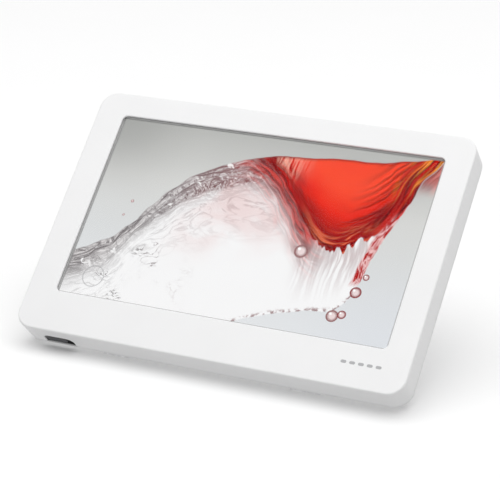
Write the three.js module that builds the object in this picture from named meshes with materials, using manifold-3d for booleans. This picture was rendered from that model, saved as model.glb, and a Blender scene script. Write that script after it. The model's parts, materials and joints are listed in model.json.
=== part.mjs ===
// Digital photo frame, standing on its lower rear edge and an easel leg.
// Millimetres, +Z up, front towards -Y. The case is drawn in its own frame: x to the right,
// y up the face, z out of the face, origin mid-face. The whole case is then tilted back.
import * as THREE from 'three';
import * as BufferGeometryUtils from 'three/addons/utils/BufferGeometryUtils.js';
import Module from 'manifold-3d';

const wasm = await Module();
wasm.setup();

// ---- driving dimensions ----------------------------------------------------------------

const degree = Math.PI / 180;
const gap = 0.3; // side clearance between neighbouring pieces
const seat = 0.25; // tape or air between stacked layers

// case
const caseWidth = 180;
const caseHeight = 120.3;
const caseDepth = 16;
const cornerRadius = 8;
const wall = 2;
const bezelThickness = 2.3;
const frontEdge = 0.8; // rounding from the face to the side walls
const rearEdge = 3.4; // rounding from the side walls to the back
const lipThickness = 1; // alignment lip of the rear cover
const lipHeight = 1.2;
const tilt = 44 * degree; // angle between the face and the table

// window in the bezel
const margin = { left: 13.7, right: 12.1, top: 11.3, bottom: 19.2 };
const windowRadius = 2.4;
const windowChamfer = 0.35;
const windowLip = 0.8; // bezel left in front of the pane

// display stack, front to back
const paneThickness = 1;
const paneOverlap = 2.5;
const gasketThickness = 0.5;
const gasketWidth = 1.6;
const gasketInset = 0.6; // the gasket starts this far outside the window
const glassThickness = 1.1;
const guideThickness = 2.2;
const trayThickness = 0.5;
const traySide = 3.15; // tray beyond the window at the sides
const trayTop = 2.6;
const trayBottom = 5.55;
const ledBarWidth = 2.5;
const flexWidth = 24;
const flexThickness = 0.2;
const flexFromRight = 18; // middle of the flex, from the main board's right edge
const flexReach = 4; // how far the flex runs behind the main board

// boards
const boardStandoff = 0.9;
const boardThickness = 1;
const mainBoard = { sideInset: 5, width: 58, height: 51, belowTray: 7.45 };
const switchBoard = { before: 4.2, after: 1, height: 10.6 };
const buttonBoard = { below: 5.1, above: 5.9 };
const stakeRadius = 0.8;
const stakeShoulder = 1.8;
const stakeProud = 0.3;
const stakeInset = 3.5; // from the edges of a board
const stakeColumn = 24; // first column on the main board, behind the sockets
const processor = { fromRight: 18, rise: 14, width: 14, height: 14, thickness: 1.3 };
const memory = { fromRight: 18, rise: 36, width: 12, height: 18, thickness: 1.1 };

// sockets in the left wall
const socketHeight = 2.6;
const socketSink = 1.2; // mouth below the outer wall
const socketShell = 0.35;
const cardSocket = { rise: 36, width: 27.5, depth: 22, mouth: 24.6, mouthHeight: 1.9 };
const usbSocket = { rise: 15.5, width: 7.6, depth: 7, tongue: 0.6 };
const powerInlet = { rise: 5, width: 7, height: 5.4, depth: 7.6, bore: 3.6, pin: 1.1 };

// slide switch in the bottom wall
const slideSlot = { sideInset: 12.2, length: 14.8, front: 6, radius: 3.2 };
const knob = { length: 10.6, sink: 0.4, thickness: 1.75, ribs: 6, rib: 0.5 };
const linerThickness = 0.8;
const linerBorder = 1.8;
const switchBody = { length: 9.4, depth: 4 };
const arm = { width: 2.4, thickness: 1.2 };

// push buttons in the back
const buttonNames = ['power', 'menu', 'previous', 'play', 'next'];
const buttonPitch = 10;
const buttonRow = { sideInset: 35.5, topInset: 16.55 }; // middle of the row
const buttonWidth = 7;
const buttonHeight = 5;
const buttonProud = 0.7;
const buttonFlange = 1; // thickness, and width beyond the cap
const buttonTravel = 0.7;

// speakers and openings in the back
const speaker = { sideInset: 38, rise: 22, radius: 10, depth: 4.6, magnet: 5.5 };
const grilleSlots = 6;
const grillePitch = 2.8;
const grilleWidth = 1.3;
const vents = { count: 9, pitch: 5, width: 1.6, height: 7, topInset: 18.65 };

// easel leg
const hinge = { topInset: 34.15, depth: 13.2 };
const openAngle = 64 * degree; // from folded flat to the stop
const legThickness = 3;
const legInner = 0.4; // inner face of the folded leg, in front of the pin's axis
const legWidth = 36;
const legFootWidth = 28;
const legStraight = { top: 16, foot: 12 }; // full width below the hinge and above the foot
const barrelRadius = 2.4;
const barrelOverhang = 0.6; // beyond each side of the leg
const pinRadius = 1;
const pinOverhang = 1.2; // beyond each wall of the trough
const washerThickness = 0.6;
const washerRadius = 2.1;
const heelReach = 3.2;
const heelHalf = 0.9;
const heelWidth = 16;
const padHeight = 1.6;
const padInset = 1; // the pad is this much narrower than the leg at each side
const recessWall = 1.5;
const scoop = { width: 18, radius: 8, depth: 2.8 };

// feet under the lower rear edge
const foot = { sideInset: 46, length: 14, width: 4.2, height: 2, proud: 0.5, shift: 0.8 };

// case screws
const screwSideInset = 34;
const screwRadius = 1;
const screwLength = 8;
const headRadius = 1.8;
const headHeight = 1.2;
const headSink = 0.5;
const postRadius = 2.2;

// ---- sizes that follow ------------------------------------------------------------------

const arcSteps = 5; // straight steps in a quarter of a round corner
const smallSteps = 2;
const outline = { width: caseWidth, height: caseHeight, radius: cornerRadius };
const left = -caseWidth / 2;
const bottom = -caseHeight / 2;
const back = -caseDepth;
const backInside = back + wall;
const seam = back + rearEdge; // plane where the rear cover ends
const housingEnd = seam + gap;

const windowWidth = caseWidth - margin.left - margin.right;
const windowHeight = caseHeight - margin.top - margin.bottom;
const windowX = (margin.left - margin.right) / 2;
const windowY = (margin.bottom - margin.top) / 2;

const paneFront = -windowLip - seat;
const paneBack = paneFront - paneThickness;
const gasketFront = paneBack - seat;
const gasketBack = gasketFront - gasketThickness;
const glassFront = gasketBack - seat;
const glassBack = glassFront - glassThickness;
const guideFront = glassBack - seat;
const guideBack = guideFront - guideThickness;
const trayFloor = guideBack - seat;
const trayBack = trayFloor - trayThickness;
const tray = {
  left: windowX - windowWidth / 2 - traySide,
  right: windowX + windowWidth / 2 + traySide,
  bottom: windowY - windowHeight / 2 - trayBottom,
  top: windowY + windowHeight / 2 + trayTop,
};

const boardFront = trayBack - boardStandoff;
const boardBack = boardFront - boardThickness;
const partsFront = boardBack - seat; // front face of what is soldered behind a board
const socketBack = partsFront - socketHeight;

const mainArea = {
  left: left + mainBoard.sideInset,
  right: left + mainBoard.sideInset + mainBoard.width,
  bottom: tray.top - mainBoard.belowTray - mainBoard.height,
  top: tray.top - mainBoard.belowTray,
};

const flexX = mainArea.right - flexFromRight;

const slotLeft = left + slideSlot.sideInset;
const slotRight = slotLeft + slideSlot.length;
const knobTravel = slideSlot.length - knob.length - 2 * gap;
const knobX = slotLeft + gap + knob.length / 2;
const armFront = partsFront - 2 * gap;
const armBack = armFront - arm.thickness;
const switchX = knobX + knobTravel / 2;
const linerOuter = bottom + wall + gap;
const linerInner = linerOuter + linerThickness;
const switchOuter = linerInner + gap;
const switchArea = {
  left: slotLeft - switchBoard.before,
  right: slotRight + switchBoard.after,
  bottom: switchOuter,
  top: switchOuter + switchBoard.height,
};

const buttonX = -left - buttonRow.sideInset;
const buttonY = -bottom - buttonRow.topInset;
const buttonHalf = (buttonNames.length - 1) / 2 * buttonPitch
  + buttonWidth / 2 + buttonFlange + 2 * (gap + stakeShoulder);
const buttonArea = {
  left: buttonX - buttonHalf,
  right: buttonX + buttonHalf,
  bottom: buttonY - buttonBoard.below,
  top: buttonY + buttonBoard.above,
};

const speakerX = -left - speaker.sideInset;
const speakerY = bottom + speaker.rise;
const ventY = -bottom - vents.topInset;
const footX = -left - foot.sideInset;
const screwX = -left - screwSideInset;
const screwTop = tray.top + gap + postRadius;
const headBack = back + headSink;
const headFront = headBack + headHeight;
const screwTip = headFront + screwLength;

const hingeY = -bottom - hinge.topInset;
const hingeZ = -hinge.depth;
const upY = Math.sin(tilt); // height gained per millimetre along y and z of the case
const upZ = Math.cos(tilt);
const edgeY = bottom + rearEdge; // axis of the lower rear rounding
const edgeZ = seam;
const restLevel = edgeY * upY + edgeZ * upZ - rearEdge - foot.proud;
const hingeHeight = hingeY * upY + hingeZ * upZ - restLevel;
const legTilt = tilt + openAngle;
const legOuter = legInner - legThickness;
const recessFloor = hingeZ + legInner + gap;
const barrelLength = legWidth + 2 * barrelOverhang;
const troughTop = hingeY + heelReach + gap;
const troughHalf = barrelLength / 2 + washerThickness + 2 * gap;
const pinLength = 2 * (troughHalf + recessWall + pinOverhang);
const troughFloor = hingeZ + barrelRadius + gap;

/** Distance along the leg, at the given thickness, where it reaches a height above the table. */
function legReach(z, height) {
  return (height - hingeHeight - z * Math.cos(legTilt)) / Math.sin(legTilt);
}

const recessBottom = hingeY + Math.min(legReach(legOuter, 0), legReach(legInner, 0)) - 2 * gap;

// ---- geometry helpers -------------------------------------------------------------------

/** A closed three.js geometry as a solid that can be cut and joined. */
function solid(geometry) {
  const bare = geometry.clone();
  bare.deleteAttribute('normal');
  bare.deleteAttribute('uv');
  const merged = BufferGeometryUtils.mergeVertices(bare, 1e-4);
  return new wasm.Manifold(new wasm.Mesh({
    numProp: 3,
    vertProperties: new Float32Array(merged.attributes.position.array),
    triVerts: new Uint32Array(merged.index.array),
  }));
}

/** A solid as a three.js geometry. */
function geometryOf(body) {
  const mesh = body.getMesh();
  const geometry = new THREE.BufferGeometry();
  geometry.setAttribute('position', new THREE.BufferAttribute(mesh.vertProperties, 3));
  geometry.setIndex(new THREE.BufferAttribute(mesh.triVerts, 1));
  geometry.computeVertexNormals();
  return geometry;
}

/** Rectangle with round corners, centred on x, y. */
function roundedRect(width, height, radius, x = 0, y = 0) {
  const shape = new THREE.Shape();
  const right = x + width / 2 - radius;
  const top = y + height / 2 - radius;
  const start = x - width / 2 + radius;
  const base = y - height / 2 + radius;
  shape.absarc(right, base, radius, -Math.PI / 2, 0);
  shape.absarc(right, top, radius, 0, Math.PI / 2);
  shape.absarc(start, top, radius, Math.PI / 2, Math.PI);
  shape.absarc(start, base, radius, Math.PI, 1.5 * Math.PI);
  return shape;
}

/** A shape extruded along z between two planes. */
function prism(shape, low, high, curveSegments = arcSteps) {
  const options = { depth: high - low, bevelEnabled: false, curveSegments };
  return solid(new THREE.ExtrudeGeometry(shape, options).translate(0, 0, low));
}

/** A shape drawn in x, z, extruded along y between two planes. */
function wallPrism(shape, low, high) {
  const options = { depth: high - low, bevelEnabled: false, curveSegments: arcSteps };
  const geometry = new THREE.ExtrudeGeometry(shape, options);
  return solid(geometry.rotateX(Math.PI / 2).translate(0, high, 0));
}

/** Block with a round-cornered outline, its edges rounded or chamfered at both ends. */
function edgedBlock({ width, height, radius, steps }, edge, low, high, segments, x = 0, y = 0) {
  const shape = roundedRect(width - 2 * edge, height - 2 * edge, radius - edge, x, y);
  const geometry = new THREE.ExtrudeGeometry(shape, {
    depth: high - low - 2 * edge,
    bevelThickness: edge,
    bevelSize: edge,
    bevelSegments: segments,
    curveSegments: steps ?? arcSteps,
  });
  return solid(geometry.translate(0, 0, low + edge));
}

/** Box between two x, two y and two z planes. */
function box(x0, x1, y0, y1, z0, z1) {
  const geometry = new THREE.BoxGeometry(x1 - x0, y1 - y0, z1 - z0);
  return solid(geometry.translate((x0 + x1) / 2, (y0 + y1) / 2, (z0 + z1) / 2));
}

/** Cylinder along z at x, y. */
function post(x, y, radius, z0, z1, sides = 12) {
  const geometry = new THREE.CylinderGeometry(radius, radius, z1 - z0, sides);
  return solid(geometry.rotateX(Math.PI / 2).translate(x, y, (z0 + z1) / 2));
}

/** Cylinder along x at y, z. */
function axle(x0, x1, y, z, radius, sides = 16) {
  const geometry = new THREE.CylinderGeometry(radius, radius, x1 - x0, sides);
  return solid(geometry.rotateZ(Math.PI / 2).translate((x0 + x1) / 2, y, z));
}

/** The outline of the case moved in by a distance. */
function inset(distance) {
  return {
    width: caseWidth - 2 * distance,
    height: caseHeight - 2 * distance,
    radius: cornerRadius - distance,
  };
}

/** The window's outline moved out by a distance, as a shape. */
function aroundWindow(distance) {
  return roundedRect(
    windowWidth + 2 * distance,
    windowHeight + 2 * distance,
    windowRadius + Math.min(distance, gap),
    windowX,
    windowY,
  );
}

/** Box over a plate's area between two z planes. */
function plate(area, z0, z1) {
  return box(area.left, area.right, area.bottom, area.top, z0, z1);
}

const screwPlaces = [
  [-screwX, screwTop],
  [0, screwTop],
  [screwX, screwTop],
  [-screwX, -screwTop],
  [screwX, -screwTop],
];
/** Two columns of heat stakes along the top edge of a board, and along its lower edge. */
function stakePlaces(area, firstColumn, rows) {
  const columns = [area.left + firstColumn, area.right - stakeInset];
  return rows.flatMap((y) => columns.map((x) => [x, y]));
}

const mainStakes = stakePlaces(mainArea, stakeColumn,
  [mainArea.bottom + stakeInset, mainArea.top - stakeInset]);
const switchStakes = stakePlaces(switchArea, stakeInset, [switchArea.top - stakeInset]);
const buttonStakes = [
  [buttonArea.left + gap + stakeShoulder, buttonY],
  [buttonArea.right - gap - stakeShoulder, buttonY],
];
const buttonPlaces = buttonNames.map((name, i) => [
  buttonX + (i - (buttonNames.length - 1) / 2) * buttonPitch,
  buttonY,
]);

const sockets = [
  { ...cardSocket, front: partsFront },
  { ...usbSocket, front: partsFront },
  { ...powerInlet, front: socketBack + powerInlet.height },
].map((item) => ({ ...item, y: mainArea.bottom + item.rise }));

// ---- materials --------------------------------------------------------------------------

const whitePlastic = { color: 0xf4f4f4, roughness: 0.38, metalness: 0 };
const greyRubber = { color: 0xc9cacb, roughness: 0.85, metalness: 0 };
const darkPlastic = { color: 0x5c5d5f, roughness: 0.55, metalness: 0 };
const blackPlastic = { color: 0x17181a, roughness: 0.5, metalness: 0 };
const clearPlastic = { color: 0xe9eef0, roughness: 0.08, metalness: 0 };
const displayGlass = { color: 0xb9c2c8, roughness: 0.15, metalness: 0 };
const steel = { color: 0xc4c6c8, roughness: 0.3, metalness: 1 };
const boardGreen = { color: 0x1f5a38, roughness: 0.55, metalness: 0 };
const flexAmber = { color: 0xb9772a, roughness: 0.45, metalness: 0 };

const slab = new THREE.Group();

/** Adds a named piece with a material of its own. */
function addPiece(name, body, finish, parent = slab) {
  const mesh = new THREE.Mesh(geometryOf(body), new THREE.MeshStandardMaterial(finish));
  mesh.name = name;
  parent.add(mesh);
  return mesh;
}

// ---- case shells ------------------------------------------------------------------------

/** Opening of the slide switch: round front corners, open towards the seam. */
function slideOpening() {
  const { front, radius } = slideSlot;
  const shape = new THREE.Shape();
  shape.moveTo(slotLeft, seam);
  shape.lineTo(slotRight, seam);
  shape.absarc(slotRight - radius, -front - radius, radius, 0, Math.PI / 2);
  shape.absarc(slotLeft + radius, -front - radius, radius, Math.PI / 2, Math.PI);
  return wallPrism(shape, bottom - 1, bottom + wall + 1);
}

/** Clearance around the sockets, through the left wall and the lip. */
function socketOpenings() {
  const end = left + wall + lipThickness + 2 * gap;
  return sockets.map(({ y, width, front }) => (
    box(left - 1, end, y - width / 2 - gap, y + width / 2 + gap, seam, front + gap)
  ));
}

function frontHousing() {
  let body = edgedBlock(outline, frontEdge, seam - frontEdge - 1, 0, 2)
    .subtract(box(left - 1, -left + 1, bottom - 1, -bottom + 1, seam - 4, housingEnd));
  const cavity = inset(wall);
  body = body
    .subtract(prism(roundedRect(cavity.width, cavity.height, cavity.radius), seam - 1, -bezelThickness))
    .subtract(prism(aroundWindow(paneOverlap + gap), -bezelThickness - 1, -windowLip))
    .subtract(prism(aroundWindow(0), -bezelThickness, 1));
  const mouth = {
    width: windowWidth + 2 * windowChamfer,
    height: windowHeight + 2 * windowChamfer,
    radius: windowRadius + windowChamfer,
  };
  body = body.subtract(edgedBlock(mouth, windowChamfer, -windowChamfer, 2, 1, windowX, windowY));
  for (const [x, y] of screwPlaces) {
    body = body
      .add(post(x, y, postRadius, housingEnd, -bezelThickness + gap))
      .subtract(post(x, y, screwRadius + gap, housingEnd - 1, screwTip + gap));
  }
  for (const opening of socketOpenings()) {
    body = body.subtract(opening);
  }
  return body.subtract(slideOpening());
}

/** Walls and floor around the leg's recess, the hinge trough and the finger scoop. */
function legHousing() {
  const half = legWidth / 2 + 2 * gap + recessWall;
  const side = troughHalf + recessWall;
  const top = troughTop + recessWall;
  const low = back + wall / 2;
  const trough = box(-side, side, hingeY - barrelRadius - gap - recessWall, top,
    low, troughFloor + recessWall);
  const recess = box(-half, half, recessBottom - recessWall, top, low, recessFloor + recessWall);
  const finger = box(-scoop.width / 2 - recessWall, scoop.width / 2 + recessWall,
    recessBottom - scoop.radius, recessBottom, low, back + scoop.depth + recessWall);
  return trough.add(recess).add(finger);
}

/** The space that the folded leg and its hinge take out of the rear cover. */
function legSpace() {
  const half = legWidth / 2 + 2 * gap;
  const low = back - 1;
  const trough = box(-troughHalf, troughHalf, hingeY - barrelRadius - gap, troughTop, low, troughFloor);
  const recess = box(-half, half, recessBottom, troughTop, low, recessFloor);
  const finger = axle(-scoop.width / 2, scoop.width / 2, recessBottom,
    back + scoop.depth - scoop.radius, scoop.radius, 48);
  const bore = axle(-pinLength / 2 - gap, pinLength / 2 + gap, hingeY, hingeZ, pinRadius + gap, 12);
  return trough.add(recess).add(finger).add(bore);
}

/** Row of upright slots with round ends, their height given by the distance from the middle. */
function slots(count, pitch, width, heightAt, x, y) {
  return Array.from({ length: count }, (_, i) => {
    const place = x + (i - (count - 1) / 2) * pitch;
    const shape = roundedRect(width, heightAt(place - x), width / 2, place, y);
    return prism(shape, back - 1, backInside + 0.5, smallSteps);
  });
}

/** Height of a grille slot at a distance from the speaker's middle. */
function grilleReach(offset) {
  const reach = speaker.radius - 1.5;
  return 2 * Math.sqrt(reach * reach - offset * offset);
}

/** A foot's block, level with the table, grown by a clearance on its sides and top. */
function footBlock(x, clearance) {
  const geometry = new THREE.BoxGeometry(
    foot.length + 2 * clearance,
    foot.width + 2 * clearance,
    foot.height + clearance,
  );
  const drop = rearEdge + foot.proud - (foot.height + clearance) / 2;
  geometry.rotateX(-tilt);
  geometry.translate(
    x,
    edgeY - drop * upY + foot.shift * upZ,
    edgeZ - drop * upZ - foot.shift * upY,
  );
  return solid(geometry);
}

function rearCover() {
  const inner = inset(wall);
  let body = edgedBlock(outline, rearEdge, back, seam + rearEdge + 1, 4)
    .subtract(edgedBlock(inner, rearEdge - wall, backInside, seam + 2 * rearEdge, 2))
    .subtract(box(left - 1, -left + 1, bottom - 1, -bottom + 1, seam, 1));
  const lipOuter = inset(wall + gap);
  const lipInner = inset(wall + gap + lipThickness);
  const lip = prism(roundedRect(lipOuter.width, lipOuter.height, lipOuter.radius), backInside - 0.1,
    seam + lipHeight)
    .subtract(prism(roundedRect(lipInner.width, lipInner.height, lipInner.radius), back, 0));
  body = body.add(lip);
  for (const x of [-footX, footX]) {
    body = body.add(footBlock(x, recessWall).intersect(prism(
      roundedRect(inner.width + wall, inner.height + wall, inner.radius), back + wall / 2, seam)));
  }
  for (const [x, y] of screwPlaces) {
    body = body.add(post(x, y, headRadius + gap + recessWall, back + 1, seam));
  }
  for (const [x, y] of [...mainStakes, ...switchStakes, ...buttonStakes]) {
    body = body
      .add(post(x, y, stakeShoulder, back + 1, boardBack - seat, 12))
      .add(post(x, y, stakeRadius, back + 1, boardFront + stakeProud, 12));
  }
  body = body.add(legHousing());
  const headSeat = headFront + gap;
  const cuts = [
    legSpace(),
    footBlock(-footX, gap),
    footBlock(footX, gap),
    ...screwPlaces.map(([x, y]) => post(x, y, headRadius + gap, back - 1, headSeat)),
    ...screwPlaces.map(([x, y]) => post(x, y, screwRadius + gap, back, seam + 1)),
    ...buttonPlaces.map(([x, y]) => (
      prism(roundedRect(buttonWidth + 2 * gap, buttonHeight + 2 * gap, buttonHeight / 2, x, y),
        back - 1, backInside + 1, smallSteps)
    )),
    ...[-speakerX, speakerX].flatMap((x) => (
      slots(grilleSlots, grillePitch, grilleWidth, grilleReach, x, speakerY)
    )),
    ...slots(vents.count, vents.pitch, vents.width, () => vents.height, 0, ventY),
    ...socketOpenings().map((opening) => opening.intersect(
      box(left + wall, 0, bottom, -bottom, seam - 0.01, 0),
    )),
    box(slotLeft - linerBorder - gap, slotRight + linerBorder + gap,
      bottom + wall, switchOuter + switchBody.depth + gap, seam, 0),
  ];
  for (const cut of cuts) {
    body = body.subtract(cut);
  }
  return body;
}

addPiece('front_housing', frontHousing(), whitePlastic);
addPiece('rear_cover', rearCover(), whitePlastic);

// ---- display ----------------------------------------------------------------------------

/** The display stack from the window to the metal tray, with its flex. */
function addDisplay() {
  addPiece('window_pane', prism(aroundWindow(paneOverlap), paneBack, paneFront), clearPlastic);
  const ring = prism(aroundWindow(gasketInset + gasketWidth), gasketBack, gasketFront)
    .subtract(prism(aroundWindow(gasketInset), gasketBack - 1, gasketFront + 1));
  addPiece('window_gasket', ring, blackPlastic);

  const room = {
    left: tray.left + trayThickness,
    right: tray.right - trayThickness,
    bottom: tray.bottom + trayThickness,
    top: tray.top - trayThickness,
  };
  const filled = {
    left: room.left + gap,
    right: room.right - gap,
    bottom: room.bottom + gap,
    top: room.top - gap,
  };
  const glass = { ...filled, bottom: filled.bottom + 2 * gap };
  addPiece('lcd_panel', plate(glass, glassBack, glassFront), displayGlass);
  const guide = { ...filled, bottom: filled.bottom + ledBarWidth + gap };
  addPiece('light_guide', plate(guide, guideBack, guideFront), clearPlastic);
  const leds = { ...filled, top: filled.bottom + ledBarWidth };
  addPiece('backlight_led_bar', plate(leds, guideBack, guideFront), whitePlastic);

  const flexFront = glassFront - (glassThickness - flexThickness) / 2;
  const flexHalf = flexWidth / 2 + gap;
  const notch = box(flexX - flexHalf, flexX + flexHalf, tray.bottom - 1, room.bottom + 0.1,
    flexFront - flexThickness - gap, 0);
  const shell = plate(tray, trayBack, glassFront)
    .subtract(plate(room, trayFloor, 0))
    .subtract(notch);
  addPiece('backlight_frame', shell, steel);

  addPiece('display_flex', displayFlex(glass.bottom - gap, flexFront), flexAmber);
}

/** Ribbon from the glass, round the lower edge of the tray, to behind the main board. */
function displayFlex(start, front) {
  const returnBack = (trayBack + boardFront) / 2 - flexThickness / 2;
  const outer = (front - returnBack) / 2;
  const middle = front - outer;
  const turn = tray.bottom - gap;
  const end = mainArea.bottom + flexReach;
  const shape = new THREE.Shape();
  shape.moveTo(start, front);
  shape.absarc(turn, middle, outer, Math.PI / 2, 1.5 * Math.PI);
  shape.lineTo(end, returnBack);
  shape.lineTo(end, returnBack + flexThickness);
  shape.absarc(turn, middle, outer - flexThickness, 1.5 * Math.PI, Math.PI / 2, true);
  shape.lineTo(start, front - flexThickness);
  const options = { depth: flexWidth, bevelEnabled: false, curveSegments: 8 };
  const geometry = new THREE.ExtrudeGeometry(shape, options);
  // the shape is drawn in y, z: turn it so that the extrusion runs along x
  const turned = new THREE.Matrix4().makeBasis(
    new THREE.Vector3(0, 1, 0),
    new THREE.Vector3(0, 0, 1),
    new THREE.Vector3(1, 0, 0),
  );
  return solid(geometry.applyMatrix4(turned).translate(flexX - flexWidth / 2, 0, 0));
}

addDisplay();

// ---- boards and what they carry ---------------------------------------------------------

/** A circuit board with holes for the rear cover's stakes. */
function board(area, stakes) {
  let body = plate(area, boardBack, boardFront);
  for (const [x, y] of stakes) {
    body = body.subtract(post(x, y, stakeRadius + gap, boardBack - 1, boardFront + 1, 12));
  }
  return body;
}

/** Socket shell open towards the left wall, with a mouth and an optional tongue. */
function socket({ rise, width, depth, mouth, mouthHeight, tongue }) {
  const y = mainArea.bottom + rise;
  const outer = left + socketSink;
  const middle = (partsFront + socketBack) / 2;
  const half = (mouth ?? width - 2 * socketShell) / 2;
  const opening = (mouthHeight ?? socketHeight - 2 * socketShell) / 2;
  let body = box(outer, outer + depth, y - width / 2, y + width / 2, socketBack, partsFront)
    .subtract(box(outer - 1, outer + depth - 1, y - half, y + half, middle - opening,
      middle + opening));
  if (tongue) {
    body = body.add(box(outer + 1, outer + depth - 0.5, y - half + 0.9, y + half - 0.9,
      middle - tongue / 2, middle + tongue / 2));
  }
  return body;
}

/** Low-voltage inlet: a block with a round bore and a centre pin. */
function inlet({ rise, width, height, depth, bore, pin }) {
  const y = mainArea.bottom + rise;
  const outer = left + socketSink;
  const middle = socketBack + height / 2;
  return box(outer, outer + depth, y - width / 2, y + width / 2, socketBack, socketBack + height)
    .subtract(axle(outer - 1, outer + depth - 1, y, middle, bore / 2, 24))
    .add(axle(outer + 0.5, outer + depth - 0.5, y, middle, pin / 2, 12));
}

/** The main board and the sockets and chips behind it. */
function addMainBoard() {
  const { rise, width, depth } = powerInlet;
  const y = mainArea.bottom + rise;
  const room = box(left, left + socketSink + depth + gap, y - width / 2 - gap, y + width / 2 + gap,
    boardBack - 1, boardFront + 1);
  addPiece('main_board', board(mainArea, mainStakes).subtract(room), boardGreen);
  addPiece('sd_card_socket', socket(cardSocket), steel);
  addPiece('usb_socket', socket(usbSocket), steel);
  addPiece('dc_inlet', inlet(powerInlet), blackPlastic);
  addPiece('processor_chip', chip(processor), blackPlastic);
  addPiece('memory_chip', chip(memory), blackPlastic);
}

/** A chip behind the main board, placed from the board's right and lower edges. */
function chip({ fromRight, rise, width, height, thickness }) {
  const x = mainArea.right - fromRight;
  const y = mainArea.bottom + rise;
  return box(x - width / 2, x + width / 2, y - height / 2, y + height / 2,
    partsFront - thickness, partsFront);
}

/** Small speaker with a domed cone facing the back. */
function speakerSolid(x) {
  const face = backInside + gap;
  const front = face + speaker.depth;
  const profile = [
    [0, front],
    [speaker.magnet, front],
    [speaker.magnet, front - 1.6],
    [speaker.radius, front - 2.6],
    [speaker.radius, face],
    [speaker.radius - 1.2, face],
    [speaker.radius - 1.8, face + 0.7],
    [speaker.magnet / 2, face + 1.6],
    [0, face + 1.1],
  ].reverse().map(([radius, z]) => new THREE.Vector2(radius, z));
  const geometry = new THREE.LatheGeometry(profile, 24);
  return solid(geometry.rotateX(Math.PI / 2).translate(x, speakerY, 0));
}

addMainBoard();
addPiece('speaker_left', speakerSolid(-speakerX), blackPlastic);
addPiece('speaker_right', speakerSolid(speakerX), blackPlastic);

// ---- slide switch -----------------------------------------------------------------------

/** The slide switch: ribbed knob with its arm, dark liner, switch body and its board. */
function addSlideSwitch() {
  const outer = bottom + knob.sink;
  const inner = outer + knob.thickness;
  const front = -slideSlot.front - 2 * gap;
  const rear = seam + 2 * gap;
  const half = knob.length / 2;
  const height = front - rear;
  const cap = roundedRect(knob.length, height, height / 2 - gap, knobX, (front + rear) / 2);
  let body = box(knobX - half, knobX + half, outer + knob.rib, inner, rear, front);
  const pitch = (knob.length - knob.rib) / (knob.ribs - 1);
  for (let i = 0; i < knob.ribs; i += 1) {
    const x = knobX - half + i * pitch;
    body = body.add(box(x, x + knob.rib, outer, outer + knob.rib + 0.1, rear, front));
  }
  const armLength = switchOuter + switchBody.depth * 0.6;
  body = body.intersect(wallPrism(cap, outer - 1, inner))
    .add(box(knobX - arm.width / 2, knobX + arm.width / 2, inner - 0.1, armLength, armBack, armFront));
  addPiece('power_slider', body, darkPlastic);

  const channelLeft = knobX - arm.width / 2 - gap;
  const channelRight = knobX + knobTravel + arm.width / 2 + gap;
  const channel = box(channelLeft, channelRight, bottom, armLength + gap,
    armBack - gap, armFront + gap);
  const liner = box(slotLeft - linerBorder, slotRight + linerBorder,
    linerOuter, linerInner, seam + gap, linerBorder - slideSlot.front);
  addPiece('slider_liner', liner.subtract(channel), blackPlastic);
  const casing = box(switchX - switchBody.length / 2, switchX + switchBody.length / 2,
    switchOuter, switchOuter + switchBody.depth, socketBack, partsFront);
  addPiece('slide_switch_body', casing.subtract(channel), steel);
  addPiece('switch_board', board(switchArea, switchStakes), boardGreen);
}

addSlideSwitch();

// ---- push buttons -----------------------------------------------------------------------

/** One push button: a cap through the cover, with a flange that keeps it in. */
function buttonSolid(x, y) {
  const flangeBack = backInside + gap;
  const radius = buttonHeight / 2 - 0.1;
  const cap = { width: buttonWidth, height: buttonHeight, radius, steps: smallSteps };
  return edgedBlock(cap, 0.3, back - buttonProud, flangeBack + buttonFlange, 1, x, y)
    .add(prism(roundedRect(buttonWidth + 2 * buttonFlange, buttonHeight + 2 * buttonFlange,
      radius, x, y), flangeBack, flangeBack + buttonFlange, smallSteps));
}

/** Dome switch under a button, clear of it at full travel. */
function domeSwitch(x, y) {
  const pressed = backInside + gap + buttonFlange + buttonTravel;
  return box(x - 2.2, x + 2.2, y - 2.2, y + 2.2, partsFront - 1.1, partsFront)
    .add(post(x, y, 1.2, pressed + 0.1, partsFront - 1, 12));
}

addPiece('button_board', board(buttonArea, buttonStakes), boardGreen);
buttonPlaces.forEach(([x, y], i) => {
  addPiece(`button_${buttonNames[i]}`, buttonSolid(x, y), whitePlastic);
  addPiece(`dome_switch_${i + 1}`, domeSwitch(x, y), steel);
});

// ---- easel leg --------------------------------------------------------------------------

const leg = new THREE.Group();
leg.position.set(0, hingeY, hingeZ);
leg.rotation.x = openAngle;
slab.add(leg);

/** What lies between two heights above the table, of a bar with the leg's thickness. */
function legSlice(low, high, shape) {
  const geometry = new THREE.BoxGeometry(2 * legWidth, 4 * hingeHeight, high - low);
  geometry.translate(0, 0, (low + high) / 2 - hingeHeight);
  geometry.rotateX(-legTilt);
  return prism(shape, legOuter, legInner).intersect(solid(geometry));
}

/** The leg's outline: wide at the hinge, narrower at the foot. */
function legOutline(end, shrink = 0) {
  const top = legWidth / 2 - shrink;
  const low = legFootWidth / 2 - shrink;
  const shape = new THREE.Shape();
  shape.moveTo(-low, end);
  shape.lineTo(low, end);
  shape.lineTo(low, end + legStraight.foot);
  shape.lineTo(top, -legStraight.top);
  shape.lineTo(top, 0);
  shape.lineTo(-top, 0);
  shape.lineTo(-top, -legStraight.top);
  shape.lineTo(-low, end + legStraight.foot);
  return shape;
}

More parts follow.
